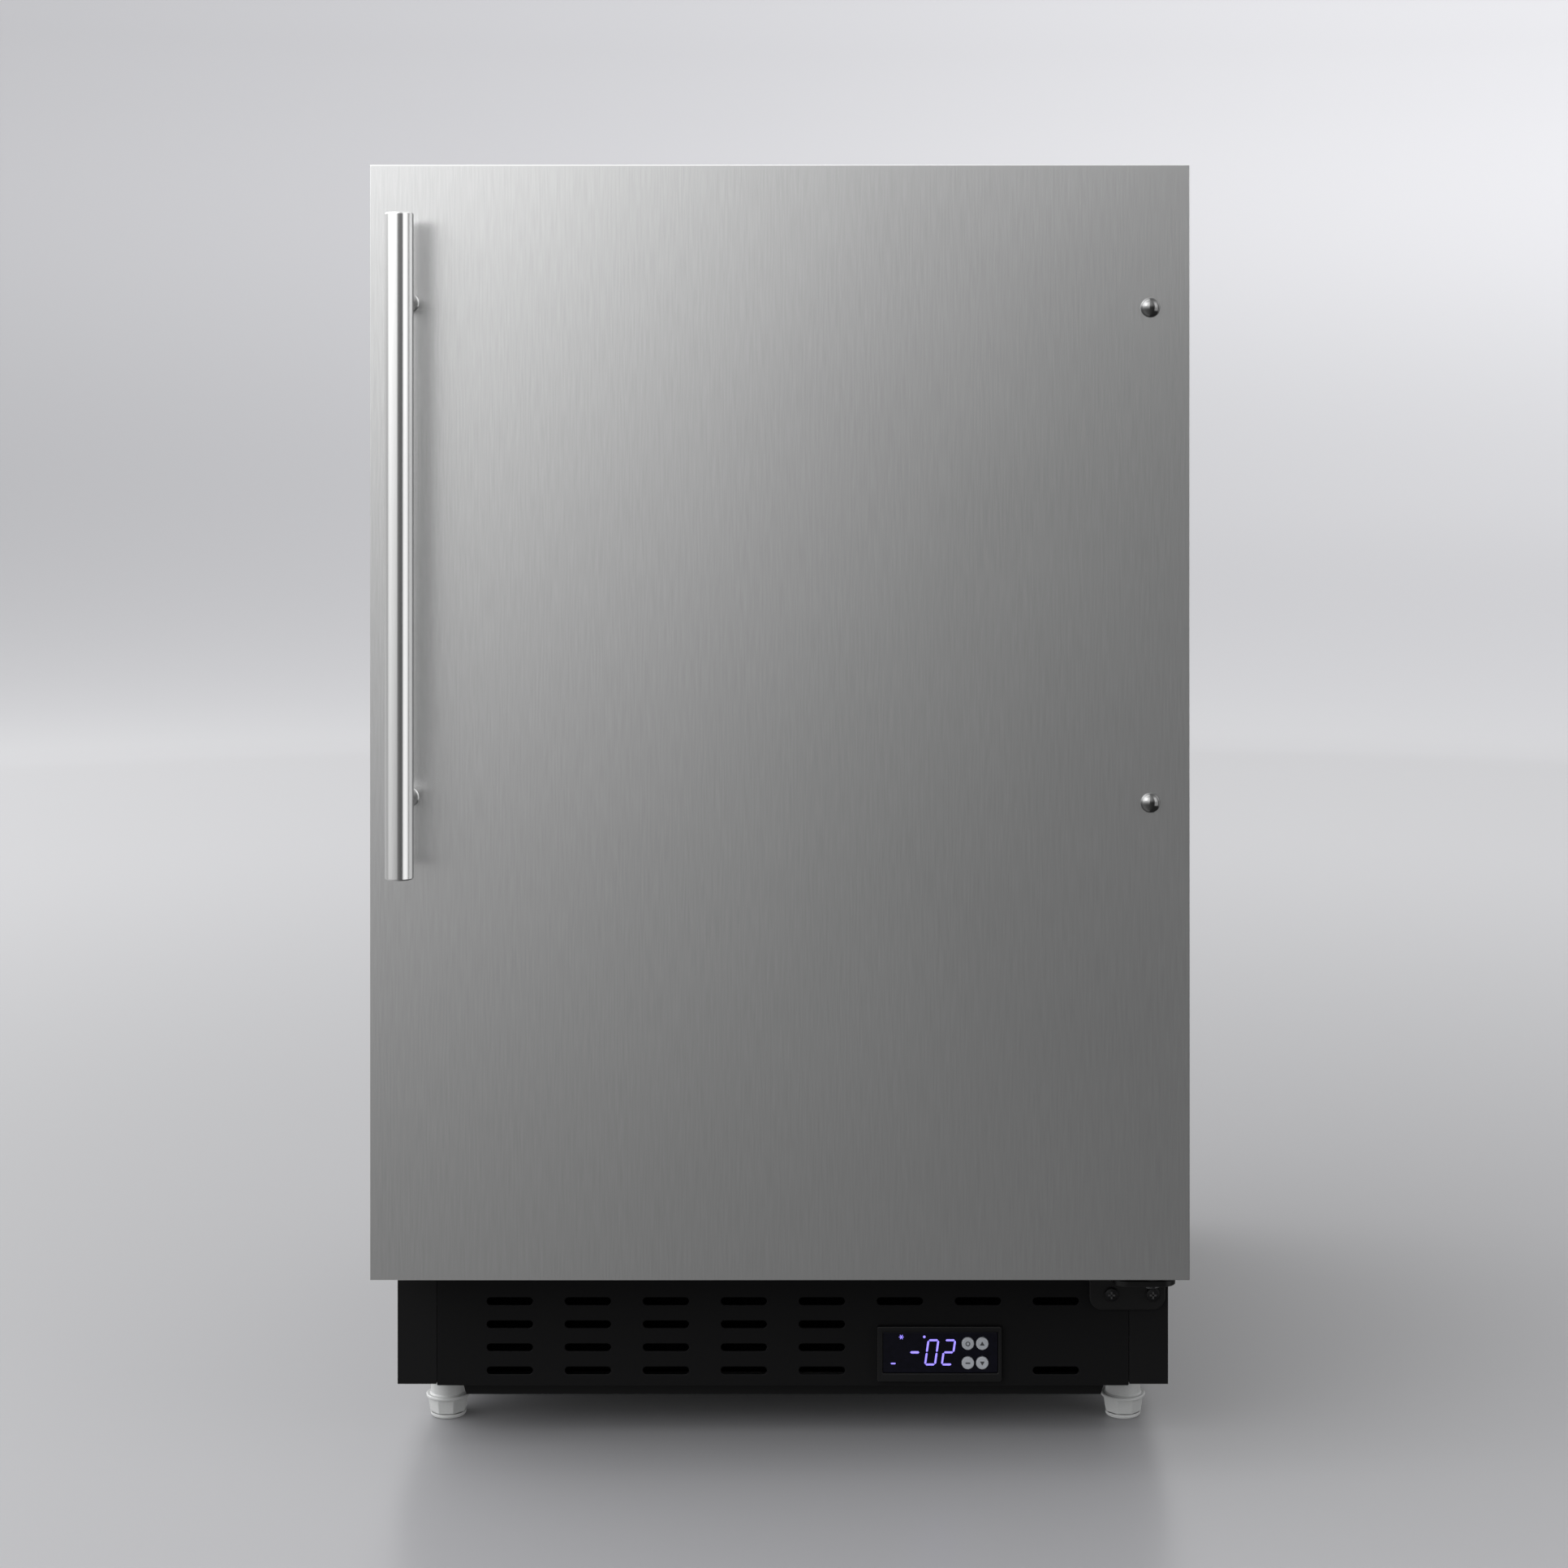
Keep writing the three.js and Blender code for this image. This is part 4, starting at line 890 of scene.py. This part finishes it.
# Edge radii in millimetres.
EDGE_ROUND = {"door_rack_upper": 1.2, "door_rack_lower": 1.2, "outer_wrapper": 0.45, "back_panel": 0.3,
              "compressor_cover": 0.35, "drain_pan": 0.8, "evaporator_cover": 0.9, "upper_hinge_bracket": 0.7,
              "base_pan": 0.5}
USUAL_ROUND = 0.35

for name, node in frame["nodes"].items():
    if node.hide_render:
        continue
    node.data.materials.clear()
    node.data.materials.append(MATERIALS[NODE_SLOT[name]])
    node.modifiers.new("weld", "WELD").merge_threshold = 0.00001
    dissolve = node.modifiers.new("flat", "DECIMATE")
    dissolve.decimate_type, dissolve.angle_limit = "DISSOLVE", math.radians(1)
    bevel = node.modifiers.new("round", "BEVEL")
    bevel.width, bevel.segments, bevel.limit_method = EDGE_ROUND.get(name, USUAL_ROUND) * MM, 2, "ANGLE"
    bevel.angle_limit = math.radians(50)
    node.modifiers.new("normals", "WEIGHTED_NORMAL").keep_sharp = True


# ---------------------------------------------------------------- floor, light and camera

BACKDROP = {"radius": 5.2, "sweep": 1.6, "height": 5.0}


def backdrop():
    """A pale floor that sweeps up into a round wall, its colour graded as painted light: a little darker near
    the middle and about twice as light high on the wall. Only the camera sees it, and light passes through
    it.
    """
    radius, sweep, height = BACKDROP["radius"], BACKDROP["sweep"], BACKDROP["height"]
    profile = [(0, 0), *arc((radius - sweep, sweep), sweep, -90, 0, 16), (radius, height)]
    ground = bpy.data.objects.new("floor", turned_mesh(profile, (0, 0, 0), sides=96))
    bpy.context.scene.collection.objects.link(ground)
    pale = bpy.data.materials.new("pale_floor")
    pale.use_nodes = True
    tree = pale.node_tree
    bsdf = tree.nodes["Principled BSDF"]
    spot = add_node(tree, "ShaderNodeNewGeometry").outputs["Position"]
    rise = add_node(tree, "ShaderNodeSeparateXYZ", {0: spot}).outputs["Z"]
    flat = add_node(tree, "ShaderNodeVectorMath", {0: spot, 1: (1, 1, 0)}, operation="MULTIPLY").outputs[0]
    reach = add_node(tree, "ShaderNodeVectorMath", {0: flat}, operation="LENGTH").outputs["Value"]
    # Painted light: the colour darkens towards the middle of the floor and lightens up the wall.
    painted_light_tone = product(tree, ramp(tree, reach, 0.7, 2.6, 0.20, 0.26), ramp(tree, rise, 0.2, 1.8, 1.0, 2.1))
    cool = math_node(tree, "MULTIPLY", painted_light_tone, 1.04)
    color = add_node(tree, "ShaderNodeCombineColor", {"Red": painted_light_tone, "Green": painted_light_tone, "Blue": cool})
    tree.links.new(color.outputs["Color"], bsdf.inputs["Base Color"])
    bsdf.inputs["Roughness"].default_value = 0.3
    bsdf.inputs["Specular IOR Level"].default_value = 0.22
    ground.data.materials.append(pale)
    ground.visible_glossy = ground.visible_diffuse = ground.visible_shadow = False


def area_light(name, location, target, size, power):
    """A rectangular lamp at a place, turned to a target."""
    light = bpy.data.lights.new(name, "AREA")
    light.shape, light.size, light.size_y = "RECTANGLE", size[0], size[1]
    light.energy = power
    holder = bpy.data.objects.new(name, light)
    holder.location = location
    holder.rotation_euler = (Vector(target) - Vector(location)).to_track_quat("-Z", "Y").to_euler()
    bpy.context.scene.collection.objects.link(holder)


def ramp(tree, value, start, end, low=0.0, high=1.0):
    """A smooth step from low to high between start and end."""
    inputs = {"Value": value, "From Min": start, "From Max": end, "To Min": low, "To Max": high}
    return add_node(tree, "ShaderNodeMapRange", inputs, interpolation_type="SMOOTHSTEP").outputs["Result"]


def math_node(tree, operation, a, b):
    """A sum, product or other operation on two values or sockets."""
    return add_node(tree, "ShaderNodeMath", {0: a, 1: b}, operation=operation).outputs[0]


def product(tree, *factors):
    """All the factors multiplied."""
    total = factors[0]
    for factor in factors[1:]:
        total = math_node(tree, "MULTIPLY", total, factor)
    return total


def dome(tree):
    """Brightness by direction: a broad wall of light front left, a narrower one right, dimmer elsewhere."""
    direction = add_node(tree, "ShaderNodeTexCoord").outputs["Generated"]
    parts = add_node(tree, "ShaderNodeSeparateXYZ", {0: direction})
    rise = parts.outputs["Z"]
    forwards = math_node(tree, "MULTIPLY", parts.outputs["Y"], -1.0)
    turn = math_node(tree, "ARCTAN2", parts.outputs["X"], forwards)
    turn = math_node(tree, "MULTIPLY", turn, 180 / math.pi)
    below_top = ramp(tree, rise, 0.6, 0.95, 1.0, 0.0)
    lean = product(tree, ramp(tree, turn, -90, 40, 5.0, 0.0), ramp(tree, turn, -180, -110))
    base = product(tree, ramp(tree, rise, -0.04, 0.56, 0.088, 0.675), math_node(tree, "ADD", lean, 1.0))
    left = product(tree, ramp(tree, turn, -95, -75), ramp(tree, turn, -8.7, -0.7, 1.89, 0.0),
                   ramp(tree, rise, -0.354, 0.446), below_top)
    right = product(tree, ramp(tree, turn, 34, 46), ramp(tree, turn, 70, 100, 1.2, 0.0),
                    ramp(tree, rise, -0.5, -0.3), below_top)
    behind = product(tree, ramp(tree, math_node(tree, "ABSOLUTE", turn, 0.0), 100, 150, 0.0, 0.5),
                     ramp(tree, rise, -0.3, 0.4, 0.4, 1.0))
    total = base
    for lamp in (left, right, behind):
        total = math_node(tree, "ADD", total, lamp)
    return total


def studio():
    """Plain soft light: a graded dome, and three large panels."""
    scene = bpy.context.scene
    scene.view_settings.view_transform = "Standard"
    world = bpy.data.worlds.new("studio")
    scene.world = world
    world.use_nodes = True
    tree = world.node_tree
    glow = dome(tree)
    gray = add_node(tree, "ShaderNodeCombineColor", {"Red": glow, "Green": glow, "Blue": glow})
    tree.links.new(gray.outputs["Color"], tree.nodes["Background"].inputs["Color"])
    area_light("key_left", (-1.9, -2.6, 2.3), (-0.1, 0, 0.5), (1.6, 1.6), 16)
    area_light("fill_right", (2.4, -1.8, 1.6), (0, 0, 0.4), (1.2, 1.8), 6)
    area_light("back_top", (0.3, 2.4, 2.8), (0, 0, 0.4), (2.0, 1.5), 12)


CAMERA_PLACE = Vector((0.055, -1.964, 0.639))
CAMERA_SHIFT = {"shift_x": -0.0551, "shift_y": -0.2259}


def camera():
    """A level camera in front. Its lens shift holds only there, so a moved camera looks straight."""
    data = bpy.data.cameras.new("camera")
    data.lens, data.sensor_width = 64.25, 36.0
    made = bpy.data.objects.new("camera", data)
    made.location = CAMERA_PLACE
    made.rotation_euler = (math.pi / 2, 0, 0)
    bpy.context.scene.collection.objects.link(made)
    bpy.context.scene.camera = made
    for channel, shift in CAMERA_SHIFT.items():
        driver = data.driver_add(channel).driver
        driver.type = "SCRIPTED"
        for letter, axis in zip("xyz", CAMERA_PLACE):
            variable = driver.variables.new()
            variable.name, variable.type = letter, "TRANSFORMS"
            variable.targets[0].id = made
            variable.targets[0].transform_type = f"LOC_{letter.upper()}"
        offsets = " + ".join(f"abs({letter} - {value:.4f})"
                             for letter, value in zip("xyz", CAMERA_PLACE))
        driver.expression = f"{shift} if {offsets} < 0.001 else 0.0"


backdrop()
studio()
camera()
